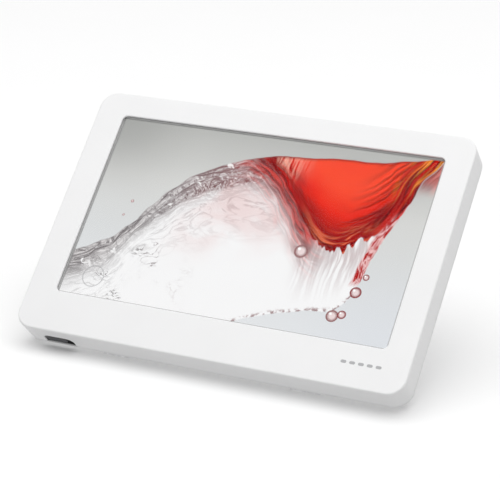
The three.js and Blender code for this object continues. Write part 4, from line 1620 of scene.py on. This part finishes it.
@dataclass
class Electronics:
    """Boards, chips and speakers.

    Attributes:
        case: The case's frame.
    """

    case: Space

    def speaker(self, side: str) -> None:
        """One speaker and the cloth between it and its grille.

        Args:
            side: left or right.
        """
        low, high = self.case.box(f"speaker_{side}")
        radius = (high.x - low.x) / 2
        middle = ((low.x + high.x) / 2, (low.y + high.y) / 2, low.z)
        depth = high.z - low.z
        cone = Solid.turned([
            (0, depth), (radius * 0.55, depth), (radius * 0.55, depth - 1.6),
            (radius, depth - 2.6), (radius, 0), (radius - 0.9, 0), (radius - 1.3, 0.5),
            (radius - 1.9, 0.25), (radius - 2.5, 0.6), (radius * 0.42, 1.9), (radius * 0.3, 1.3),
            (radius * 0.15, 1.05), (0, 1.0),
        ], middle, 48)
        cone.publish(self.case, Place(f"speaker_cone_{side}", "case", "speaker_black",
                                      (f"speaker_{side}",)), CONE, 0)
        x, y, _ = middle
        cloth = Solid.rod((x, y, low.z - 0.24), (x, y, low.z - 0.06), radius - 0.4, 48)
        cloth.publish(self.case, Place(f"grille_cloth_{side}", "case", "speaker_black"), CLOTH, 0)

    def build(self) -> None:
        """Makes the speakers and dresses the boards, chips and switches."""
        for side in ("left", "right"):
            self.speaker(side)
        for node in ("main_board", "switch_board", "button_board"):
            dress(node, Board(), self.case)
        for node in ("processor_chip", "memory_chip"):
            dress(node, CHIP, self.case)
        dress("slide_switch_body", TIN, self.case)
        for index in range(1, 6):
            dress(f"dome_switch_{index}", DOME, self.case)


@dataclass
class Sockets:
    """The card socket, the USB socket and the low-voltage inlet in the left wall.

    Attributes:
        case: The case's frame.
        shell: Thickness of the tinned shells.
        card_mouth: Width and height of the card's mouth.
        tongue: Thickness of the USB tongue.
        bore: Radius of the inlet's bore.
        pin: Radius of the inlet's pin.
    """

    case: Space
    shell: float = 0.35
    card_mouth: Pair = (24.6, 1.9)
    tongue: float = 0.6
    bore: float = 1.8
    pin: float = 0.55

    def inward(self, solid: Solid, node: str) -> Solid:
        """Lays a solid drawn along z into the left wall, at a socket's mouth.

        Args:
            solid: The solid, its mouth at zero.
            node: The socket's CAD node.

        Returns:
            The solid in place.
        """
        low, high = self.case.box(node)
        turn = Matrix(((0, 0, 1), (1, 0, 0), (0, 1, 0))).to_4x4()
        mouth = Matrix.Translation((low.x, (low.y + high.y) / 2, (low.z + high.z) / 2))
        bmesh.ops.transform(solid.bm, matrix=mouth @ turn, verts=solid.bm.verts)
        return solid

    def cup(self, node: str, mouth: Pair, radius: float) -> Solid:
        """A rounded shell that is closed at its far end.

        Args:
            node: The socket's CAD node.
            mouth: Width and height of its mouth.
            radius: Corner radius of the mouth.

        Returns:
            The shell in place.
        """
        low, high = self.case.box(node)
        depth = high.x - low.x
        outer = Ring(high.y - low.y, high.z - low.z, radius + self.shell, 0)
        inner = Ring(*mouth, radius, 0)
        shell = Solid.loft([outer.grown(0, depth), outer.grown(0, 0.1), outer.grown(-0.08, 0),
                            inner.grown(0.08, 0), inner.grown(0, 0.12),
                            inner.grown(0, depth - 1)], steps=5)
        return self.inward(shell, node)

    def contacts(self, count: int, pitch: float, size: Point, start: float, lift: float) -> Solid:
        """A row of springy contacts, each bent down at its tip.

        Args:
            count: How many.
            pitch: Distance between them.
            size: Width, thickness and length of one.
            start: Depth at which they begin.
            lift: Height of the row.

        Returns:
            The row, drawn along z.
        """
        row = Solid()
        width, thick, length = size
        for index in range(count):
            x = (index - (count - 1) / 2) * pitch
            strip = Solid.block((x - width / 2, lift, start), (x + width / 2, lift + thick,
                                                              start + length))
            strip.slice((0, 0, start + length * 0.25), (0, 0, 1))
            tip = [v for v in strip.bm.verts if v.co.z < start + 0.01]
            bmesh.ops.translate(strip.bm, vec=(0, -thick, 0), verts=tip)
            row.beside(strip)
        return row

    def card(self) -> None:
        """The card socket's shell, the plastic bed inside it and its contacts."""
        node = "sd_card_socket"
        self.cup(node, self.card_mouth, 0.15).publish(
            self.case, Place("card_shell", "case", "socket_tin", (node,)), TIN, 0)
        half = self.card_mouth[0] / 2 - 0.15
        bed = Solid.block((-half, 0.35, 2.5), (half, 0.9, 20.5))
        for index in range(9):
            x = (index - 4) * 2.5
            bed.cut(Solid.block((x - 0.75, 0.2, 2), (x + 0.75, 0.7, 9)))
        self.inward(bed, node).publish(
            self.case, Place("card_bed", "case", "inlet_black"), BLACK, 0.04)
        row = self.contacts(9, 2.5, (1.1, 0.18, 7.5), 3.2, 0.42)
        self.inward(row, node).publish(
            self.case, Place("card_contacts", "case", "socket_tin"), GOLD, 0)

    def usb(self) -> None:
        """The USB socket's shell, its tongue and contacts."""
        node = "usb_socket"
        low, high = self.case.box(node)
        mouth = (high.y - low.y - 2 * self.shell, high.z - low.z - 2 * self.shell)
        self.cup(node, mouth, 0.6).publish(
            self.case, Place("usb_shell", "case", "socket_tin", (node,)), TIN, 0)
        half = mouth[0] / 2 - 0.9
        tongue = Solid.block((-half, -self.tongue / 2, 1), (half, self.tongue / 2, 6.5))
        tongue.round(0.15, lambda m, d: m.z < 1.01, 2)
        self.inward(tongue, node).publish(
            self.case, Place("usb_tongue", "case", "inlet_black"), BLACK, 0)
        row = self.contacts(5, 0.85, (0.45, 0.1, 4.2), 1.5, -self.tongue / 2 - 0.11)
        self.inward(row, node).publish(
            self.case, Place("usb_contacts", "case", "socket_tin"), GOLD, 0)

    def inlet(self) -> None:
        """The inlet's block, its metal sleeve and its pin."""
        node = "dc_inlet"
        low, high = self.case.box(node)
        depth = high.x - low.x
        outline = Ring(high.y - low.y, high.z - low.z, 0.5, 0)
        block = Solid.loft([outline.grown(-0.25, 0), outline.grown(0, 0.25),
                            outline.grown(0, depth)], steps=4)
        bore = Solid.turned([(0, -1), (self.bore + 0.5, -1), (self.bore + 0.5, 0),
                             (self.bore, 0.5), (self.bore, depth - 1), (0, depth - 1)],
                            (0, 0, 0), 40)
        self.inward(block.cut(bore), node).publish(
            self.case, Place("inlet_block", "case", "inlet_black", (node,)), BLACK, 0.05)
        outer, inner = self.bore - 0.03, self.bore - 0.25
        sleeve = Solid.turned([(inner, 0.7), (outer, 0.6), (outer, depth - 1.2),
                               (inner, depth - 1.2)], (0, 0, 0), 40)
        self.inward(sleeve, node).publish(
            self.case, Place("inlet_sleeve", "case", "socket_tin"), TIN, 0)
        pin = Solid.turned([(0, 0.5), (self.pin * 0.6, 0.58), (self.pin, 0.95),
                            (self.pin, depth - 0.9), (0, depth - 0.9)], (0, 0, 0), 24)
        self.inward(pin, node).publish(
            self.case, Place("inlet_pin", "case", "socket_tin"), TIN, 0)

    def build(self) -> None:
        """Makes the three sockets."""
        self.card()
        self.usb()
        self.inlet()


# ---- controls ----------------------------------------------------------------------------


@dataclass
class SlideSwitch:
    """The ribbed slide knob in the lower wall, and the dark liner behind it.

    Attributes:
        case: The case's frame.
        grooves: Number of grooves across the knob.
        groove_radius: Radius of each groove.
        thickness: Thickness of the knob.
        collar: Thickness of the liner's collar.
        channel: Lowest and highest depth of the liner's channel for the knob's arm.
        channel_inset: How far that channel starts in from the knob's ends.
    """

    case: Space
    grooves: int = 9
    groove_radius: float = 0.33
    thickness: float = 1.75
    collar: float = 0.12
    channel: Pair = (-12.0, -9.8)
    channel_inset: float = 3.8

    def build(self) -> None:
        """Makes the knob and its liner."""
        low, high = self.case.box("power_slider")
        knob = Solid.block(low, (high.x, low.y + self.thickness, high.z))
        knob.round((high.z - low.z) / 2 - GAP, lambda m, d: abs(d.y) > 0.9, 10)
        pitch = (high.x - low.x) / (self.grooves + 1)
        for index in range(self.grooves):
            x = low.x + (index + 1) * pitch
            knob.cut(Solid.rod((x, low.y - 0.05, low.z - 1), (x, low.y - 0.05, high.z + 1),
                               self.groove_radius, 16))
        middle = (low.x + high.x) / 2
        arm = Solid.block((middle - 1.2, low.y + self.thickness - 0.2, low.z + 1.6),
                          (middle + 1.2, high.y, low.z + 2.8))
        box = self.case.box("slide_switch_body")
        level = (box[0].z + box[1].z) / 2
        knob.join(arm.move((0, 0, level - (low.z + 2.2))))
        knob.publish(self.case, Place("knob_ribbed", "slider", "slider_grey", ("power_slider",)),
                     KNOB_GREY, 0.08)
        self.liner()

    def liner(self) -> None:
        """The dark liner: a floor behind the knob and a thin collar up the slot's sides."""
        low, high = self.case.box("slider_liner")
        knob_low, knob_high = self.case.box("power_slider")
        travel = joint("power_slide")["range_m"][1] / MM
        floor = Solid.block(low, high)
        wall = self.collar
        slot_low = Vector((knob_low.x - GAP, knob_low.y + 0.1, low.z))
        slot_high = Vector((knob_high.x + GAP + travel, low.y + 0.1, knob_high.z + 2 * GAP))
        inset = Vector((wall, 1, wall))

        def front(middle: Vector, along: Vector) -> bool:
            """Whether an edge is one of the slot's two front corners."""
            return abs(along.y) > 0.9 and middle.z > knob_low.z

        collar = Solid.block(slot_low, slot_high).round(SLOT_RADIUS, front, 10)
        room = Solid.block(slot_low + inset * Vector((1, -1, 1)),
                           slot_high + inset * Vector((-1, 1, -1)))
        room.round(SLOT_RADIUS - wall, front, 10)
        back, top = self.channel
        arm = Solid.block((knob_low.x + self.channel_inset, low.y - 1, back),
                          (knob_high.x - self.channel_inset + travel, high.y + 1, top))
        floor.cut(arm).join(collar.cut(room))
        floor.publish(self.case, Place("liner_dark", "case", "liner_black", ("slider_liner",)),
                      LINER, 0.03)


class Symbol(Enum):
    """What is pressed into a button's cap."""

    RING = "power"
    BARS = "menu"
    BACK = "previous"
    ARROW = "play"
    FORWARD = "next"


@dataclass
class PushButtons:
    """The five caps in the rear cover.

    Attributes:
        case: The case's frame.
        flange: How far the hidden flange stands out around the cap.
        flange_height: Its thickness.
        sink: Depth of the symbols.
    """

    case: Space
    flange: float = 1.0
    flange_height: float = 1.0
    sink: float = 0.18
    names = tuple(symbol.value for symbol in Symbol)

    def arrow(self, x: float, y: float, z: float, side: int) -> Solid:
        """A small triangle that points to one side."""
        head = Solid.rod((x, y, z - 0.5), (x, y, z + self.sink), 0.95, 3)
        return head.turn(180 if side > 0 else 0, "Z", (x, y, z)).turn(90, "Z", (x, y, z))

    def symbol(self, kind: Symbol, x: float, y: float, z: float) -> list[Solid]:
        """The cutters of a symbol on a cap.

        Args:
            kind: Which symbol.
            x: Middle of the cap.
            y: Middle of the cap.
            z: Depth of the cap's outer face.

        Returns:
            The cutters.
        """
        floor = z + self.sink

        def bar(x0: float, x1: float, y0: float, y1: float) -> Solid:
            """A bar between two corners measured from the cap's middle."""
            return Solid.block((x + x0, y + y0, z - 0.5), (x + x1, y + y1, floor))

        if kind is Symbol.RING:
            ring = Solid.turned([(0.75, -0.5), (1.1, -0.5), (1.1, self.sink), (0.75, self.sink)],
                                (x, y, z), 32)
            return [ring]
        if kind is Symbol.BARS:
            return [bar(-1.1, 1.1, off - 0.14, off + 0.14) for off in (-0.65, 0, 0.65)]
        if kind is Symbol.ARROW:
            return [self.arrow(x, y, z, -1)]
        side = 1 if kind is Symbol.BACK else -1
        return [self.arrow(x, y, z, side), bar(side * 1.2 - 0.15, side * 1.2 + 0.15, -0.8, 0.8)]

    def build(self) -> None:
        """Makes each cap with its pressed-in symbol."""
        for kind in Symbol:
            low, high = self.case.box(f"button_{kind.value}")
            x, y = (low.x + high.x) / 2, (low.y + high.y) / 2
            width = high.x - low.x - 2 * self.flange
            height = high.y - low.y - 2 * self.flange
            outline = Ring(width, height, height / 2 - 0.1, low.z, x, y)
            crown = [outline.grown(-i - 0.35, low.z + d) for i, d in arc(0.35, 4)]
            skirt = high.z - self.flange_height
            cap = Solid.loft([
                *crown,
                outline.grown(-0.3, low.z + 0.36),
                outline.grown(0, low.z + 0.75),
                outline.grown(0, skirt),
                outline.grown(self.flange, skirt),
                outline.grown(self.flange, high.z),
            ], steps=8)
            cap.cut(*self.symbol(kind, x, y, low.z))
            cap.publish(self.case, Place(f"cap_{kind.value}", f"{kind.value}_button",
                                         "button_white", (f"button_{kind.value}",)),
                        BUTTON_WHITE, 0.05)


# ---- the stand ---------------------------------------------------------------------------


@dataclass
class Stand:
    """The easel leg with its pad, hinge and the two feet.

    Attributes:
        case: The case's frame.
        foot_width: Width of the leg at its pad.
        straight: How far the leg keeps its width below the hinge and above the pad.
        panel_edge: Width of the leg beside its sunk panel.
        ribs: Number of grip ribs, distance of the first from the end, and their pitch.
        rib: Half the length and radius of a rib.
        heel: Half width, reach and half thickness of the heel.
    """

    case: Space
    foot_width: float = 28.0
    straight: Pair = (16.0, 12.0)
    panel_edge: float = 3.5
    ribs: tuple[int, float, float] = (4, 3.2, 2.4)
    rib: Pair = (9.0, 0.45)
    heel: Point = (8.0, 3.2, 0.9)

    def leg(self) -> None:
        """The leg: tapered plate, sunk panel, grip ribs, barrel and heel."""
        space = leg_space(self.case)
        low, high = space.box("stand_leg")
        width = high.x - low.x - 1.2
        outer, inner = LEG_FACES
        end = low.y
        plate = Solid.block((-width / 2, end, outer), (width / 2, 0, inner))
        foot_end, hinge_end = end + self.straight[1], -self.straight[0]
        plate.slice((0, foot_end, 0), (0, 1, 0)).slice((0, hinge_end, 0), (0, 1, 0))
        narrow = [v for v in plate.bm.verts if v.co.y < foot_end + GAP]
        bmesh.ops.scale(plate.bm, vec=(self.foot_width / width, 1, 1), verts=narrow)
        plate.round(0.7, lambda m, d: abs(d.y) > 0.9 and m.y < 0, 4)
        half = self.foot_width / 2 - self.panel_edge
        panel = Solid.block((-half, end + 14, outer - 1), (half, -9, outer + 0.8))
        panel.round(2, lambda m, d: abs(d.z) > 0.9, 8)
        plate.cut(panel)
        count, first, pitch = self.ribs
        length, radius = self.rib
        for index in range(count):
            y, z = end + first + index * pitch, outer + 0.1
            plate.join(Solid.rod((-length, y, z), (length, y, z), radius, 12))
        table = Space(space.origin, 0).box("leg_foot_pad")[1].z + GAP
        under = Solid.block((-60, -200, table - 200), (60, 200, table))
        plate.cut(under.turn(-math.degrees(space.tilt), "X"))
        barrel = Solid.rod((low.x, 0, 0), (high.x, 0, 0), BARREL, 40)
        wide, reach, thick = self.heel
        heel = Solid.block((-wide, 0, -thick), (wide, reach, thick))
        heel.turn(-joint("leg_fold")["range_deg"][1], "X")
        plate.join(barrel, heel)
        plate.cut(Solid.rod((low.x - 1, 0, 0), (high.x + 1, 0, 0), PIN_BORE, 24))
        plate.clean().publish(space, Place("leg_plate", "leg", "stand_white", ("stand_leg",)),
                              LEG_WHITE, 0.12)

    def pad(self) -> None:
        """The leg's rubber pad, a slice of the same bar with its edges rounded."""
        space = leg_space(self.case)
        level = Space(space.origin, 0)
        low, high = level.box("leg_foot_pad")
        outer, inner = LEG_FACES
        bar = Solid.block((low.x, -90, outer), (high.x, -40, inner))
        bar.round(0.5, lambda m, d: abs(d.y) > 0.9, 4)
        slab = Solid.block((-60, -200, low.z), (60, 200, high.z))
        bar.keep(slab.turn(-math.degrees(space.tilt), "X"))
        bar.publish(space, Place("pad_leg", "leg", "foot_rubber", ("leg_foot_pad",)), FEET, 0.2, 3)

    def hinge(self) -> None:
        """The pin with domed ends and its two washers."""
        low, high = self.case.box("hinge_pin")
        radius = (high.z - low.z) / 2
        axis = (low + high) / 2
        length = high.x - low.x
        pin = Solid.turned([(0, 0), (radius * 0.6, 0.1), (radius, 0.5), (radius, length - 0.5),
                            (radius * 0.6, length - 0.1), (0, length)], (0, 0, 0), 32)
        pin.turn(90, "Y").move((low.x, axis.y, axis.z))
        pin.publish(self.case, Place("pin_hinge", "case", "hinge_steel", ("hinge_pin",)), STEEL, 0)
        for side in ("left", "right"):
            node = f"hinge_washer_{side}"
            low, high = self.case.box(node)
            outer = (high.z - low.z) / 2
            thick = high.x - low.x
            washer = Solid.turned([(PIN_BORE, 0), (outer, 0), (outer, thick), (PIN_BORE, thick)],
                                  (0, 0, 0), 40)
            washer.turn(90, "Y").move((low.x, axis.y, axis.z))
            washer.publish(self.case, Place(f"washer_{side}", "case", "hinge_steel", (node,)),
                           STEEL, 0.06)

    def feet(self) -> None:
        """The two rubber feet, level with the table."""
        level = Space(self.case.origin, 0)
        for side in ("left", "right"):
            low, high = level.box(f"foot_{side}")
            foot = Solid.block(low, high)
            foot.round(1.2, lambda m, d: abs(d.z) > 0.9, 8)
            foot.publish(level, Place(f"pad_{side}", "case", "foot_rubber", (f"foot_{side}",)),
                         FEET, 0.25, 3)

    def build(self) -> None:
        """Makes the leg, its pad, the hinge and the feet."""
        self.leg()
        self.pad()
        self.hinge()
        self.feet()


@dataclass
class CaseScrews:
    """The five case screws with cross recesses.

    Attributes:
        case: The case's frame.
        head: Radius of the head.
        shank: Radius of the shank.
        head_height: Height of the head.
        thread_pitch: Distance between the thread's turns.
    """

    case: Space
    head: float = 1.8
    shank: float = 1.0
    head_height: float = 1.2
    thread_pitch: float = 0.7

    def build(self) -> None:
        """Makes each screw: domed head, cross recess, ringed thread and tip."""
        for index in range(1, 6):
            node = f"case_screw_{index}"
            low, high = self.case.box(node)
            length = high.z - low.z
            middle = ((low.x + high.x) / 2, (low.y + high.y) / 2, low.z)
            dome = [(0, 0), (self.head * 0.45, 0.03), (self.head * 0.8, 0.14), (self.head, 0.5),
                    (self.head, self.head_height), (self.shank, self.head_height)]
            turns = int((length - self.head_height - 1.2) / self.thread_pitch)
            root = self.head_height + 0.3
            thread = [(self.shank - 0.18 * (step % 2), root + step * self.thread_pitch / 2)
                      for step in range(2 * turns)]
            screw = Solid.turned([*dome, *thread, (self.shank * 0.7, length - 0.5), (0, length)],
                                 middle, 32)
            x, y, z = middle
            for long, short in ((1.05, 0.2), (0.2, 1.05)):
                cross = Solid.block((x - long, y - short, z - 1), (x + long, y + short, z + 0.75))
                screw.cut(cross.turn(20 + 31 * index, "Z", middle))
            screw.publish(self.case, Place(f"screw_{index}", "case", "screw_steel", (node,)),
                          STEEL, 0.04)


# ---- the bezel's mark --------------------------------------------------------------------


@dataclass
class BezelMark:
    """A plain printed mark on the bezel: five equal dashes, no letters.

    Attributes:
        case: The case's frame.
        right: Distance from the case's right edge to the mark.
        rise: Distance from the lower edge to its middle.
        dash: Width and height of a dash.
        pitch: Distance between dashes.
        count: Number of dashes.
        ink: Thickness of the print.
    """

    case: Space
    right: float = 11.8
    rise: float = 10.9
    dash: Pair = (2.5, 1.3)
    pitch: float = 3.8
    count: int = 5
    ink: float = 0.03

    def build(self) -> None:
        """Prints the dashes a hair proud of the face."""
        low, high = self.case.box("front_housing")
        mark = Solid()
        for index in range(self.count):
            x = high.x - self.right - self.dash[0] / 2 - index * self.pitch
            ring = Ring(self.dash[0], self.dash[1], self.dash[1] / 2 - 0.01, high.z - self.ink,
                        x, low.y + self.rise)
            mark.beside(Solid.loft([ring, ring.grown(0, high.z + self.ink)], steps=6))
        mark.publish(self.case, Place("mark_plain", "case", "slider_grey"), MARK_GREY, 0)


# ---- the studio --------------------------------------------------------------------------


@dataclass
class Lamp:
    """A soft rectangular lamp aimed at the frame.

    Attributes:
        name: Its name.
        place: Where it stands, in metres from the target.
        size: Its width and height in metres.
        power: Its power in watts.
    """

    name: str
    place: Point
    size: Pair
    power: float

    def build(self, target: Vector) -> None:
        """Makes the lamp, out of the camera's sight.

        Args:
            target: What it is aimed at.
        """
        light = bpy.data.lights.new(self.name, "AREA")
        light.shape = "RECTANGLE"
        light.size, light.size_y = self.size
        light.energy = self.power
        lamp = bpy.data.objects.new(self.name, light)
        lamp.location = target + Vector(self.place)
        lamp.rotation_mode = "QUATERNION"
        lamp.rotation_quaternion = (-Vector(self.place)).to_track_quat("-Z", "Y")
        lamp.visible_camera = False
        bpy.context.scene.collection.objects.link(lamp)


@dataclass
class Studio:
    """Floor, lights and camera.

    Attributes:
        case: The case's frame, whose origin the camera is placed from.
        eye: Camera's place from the middle of the face, in metres.
        right: Camera's right direction.
        up: Camera's up direction.
        lens: Focal length in millimetres on a 36 mm sensor.
        sky: Strength of the even light from all round.
        bounce: Strength of the light that the frame gets from below.
        lamps: The lamps.
    """

    case: Space
    eye: Point = (0.3167, -0.6667, 0.2598)
    right: Point = (0.90484, 0.42574, 0.0014)
    up: Point = (-0.14625, 0.3078, 0.94015)
    lens: float = 132.05
    sky: float = 0.5
    bounce: float = 0.7
    lamps: tuple[Lamp, ...] = (Lamp("top_panel", (0.1, -0.1, 2.0), (3.2, 3.2), 47),)

    def camera(self) -> None:
        """The camera, above the face and to its right, and rolled a little."""
        data = bpy.data.cameras.new("camera")
        data.lens = self.lens
        data.sensor_width = 36
        data.clip_start = 0.01
        data.clip_end = 50
        camera = bpy.data.objects.new("camera", data)
        right = Vector(self.right).normalized()
        up = Vector(self.up)
        up = (up - up.dot(right) * right).normalized()
        back = right.cross(up)
        camera.matrix_world = Matrix.Translation(self.case.origin + Vector(self.eye)) @ Matrix(
            (right, up, back)).transposed().to_4x4()
        bpy.context.scene.collection.objects.link(camera)
        bpy.context.scene.camera = camera

    def floor(self) -> None:
        """A wide pale floor."""
        bm = bmesh.new()
        bmesh.ops.create_circle(bm, cap_ends=True, segments=96, radius=12)
        mesh = bpy.data.meshes.new("floor")
        bm.to_mesh(mesh)
        bm.free()
        floor = bpy.data.objects.new("floor", mesh)
        mesh.materials.append(Floor().material(Space(Vector((0, 0, 0)), 0)))
        floor.visible_diffuse = False
        bpy.context.scene.collection.objects.link(floor)

    def world(self) -> None:
        """Even light: one strength from above the horizon and another from below it."""
        world = bpy.data.worlds.new("studio")
        world.use_nodes = True
        tree = world.node_tree
        direction = tree.nodes.new("ShaderNodeTexCoord").outputs["Generated"]
        split = tree.nodes.new("ShaderNodeSeparateXYZ")
        step = tree.nodes.new("ShaderNodeMapRange")
        step.inputs["From Min"].default_value = -0.05
        step.inputs["From Max"].default_value = 0.05
        step.inputs["To Min"].default_value = self.bounce
        step.inputs["To Max"].default_value = self.sky
        shade = tree.nodes["Background"].inputs
        shade["Color"].default_value = (1, 1, 1, 1)
        for source, target in ((direction, split.inputs[0]), (split.outputs["Z"], step.inputs[0]),
                               (step.outputs[0], shade["Strength"])):
            tree.links.new(source, target)
        bpy.context.scene.world = world

    def build(self) -> None:
        """Sets up the studio."""
        self.camera()
        self.floor()
        for lamp in self.lamps:
            lamp.build(self.case.origin)
        self.world()
        bpy.context.scene.view_settings.view_transform = "Standard"


def main() -> None:
    """Builds the studio and every sub-assembly."""
    logging.basicConfig(level=logging.INFO, format="%(name)s %(message)s")
    case = case_space()
    Studio(case).build()
    shells = CaseShells(case)
    shells.build()
    Display(case, shells.window).build()
    Electronics(case).build()
    Sockets(case).build()
    SlideSwitch(case).build()
    PushButtons(case).build()
    Stand(case).build()
    CaseScrews(case).build()
    BezelMark(case).build()
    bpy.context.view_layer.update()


if __name__ == "__main__":
    main()
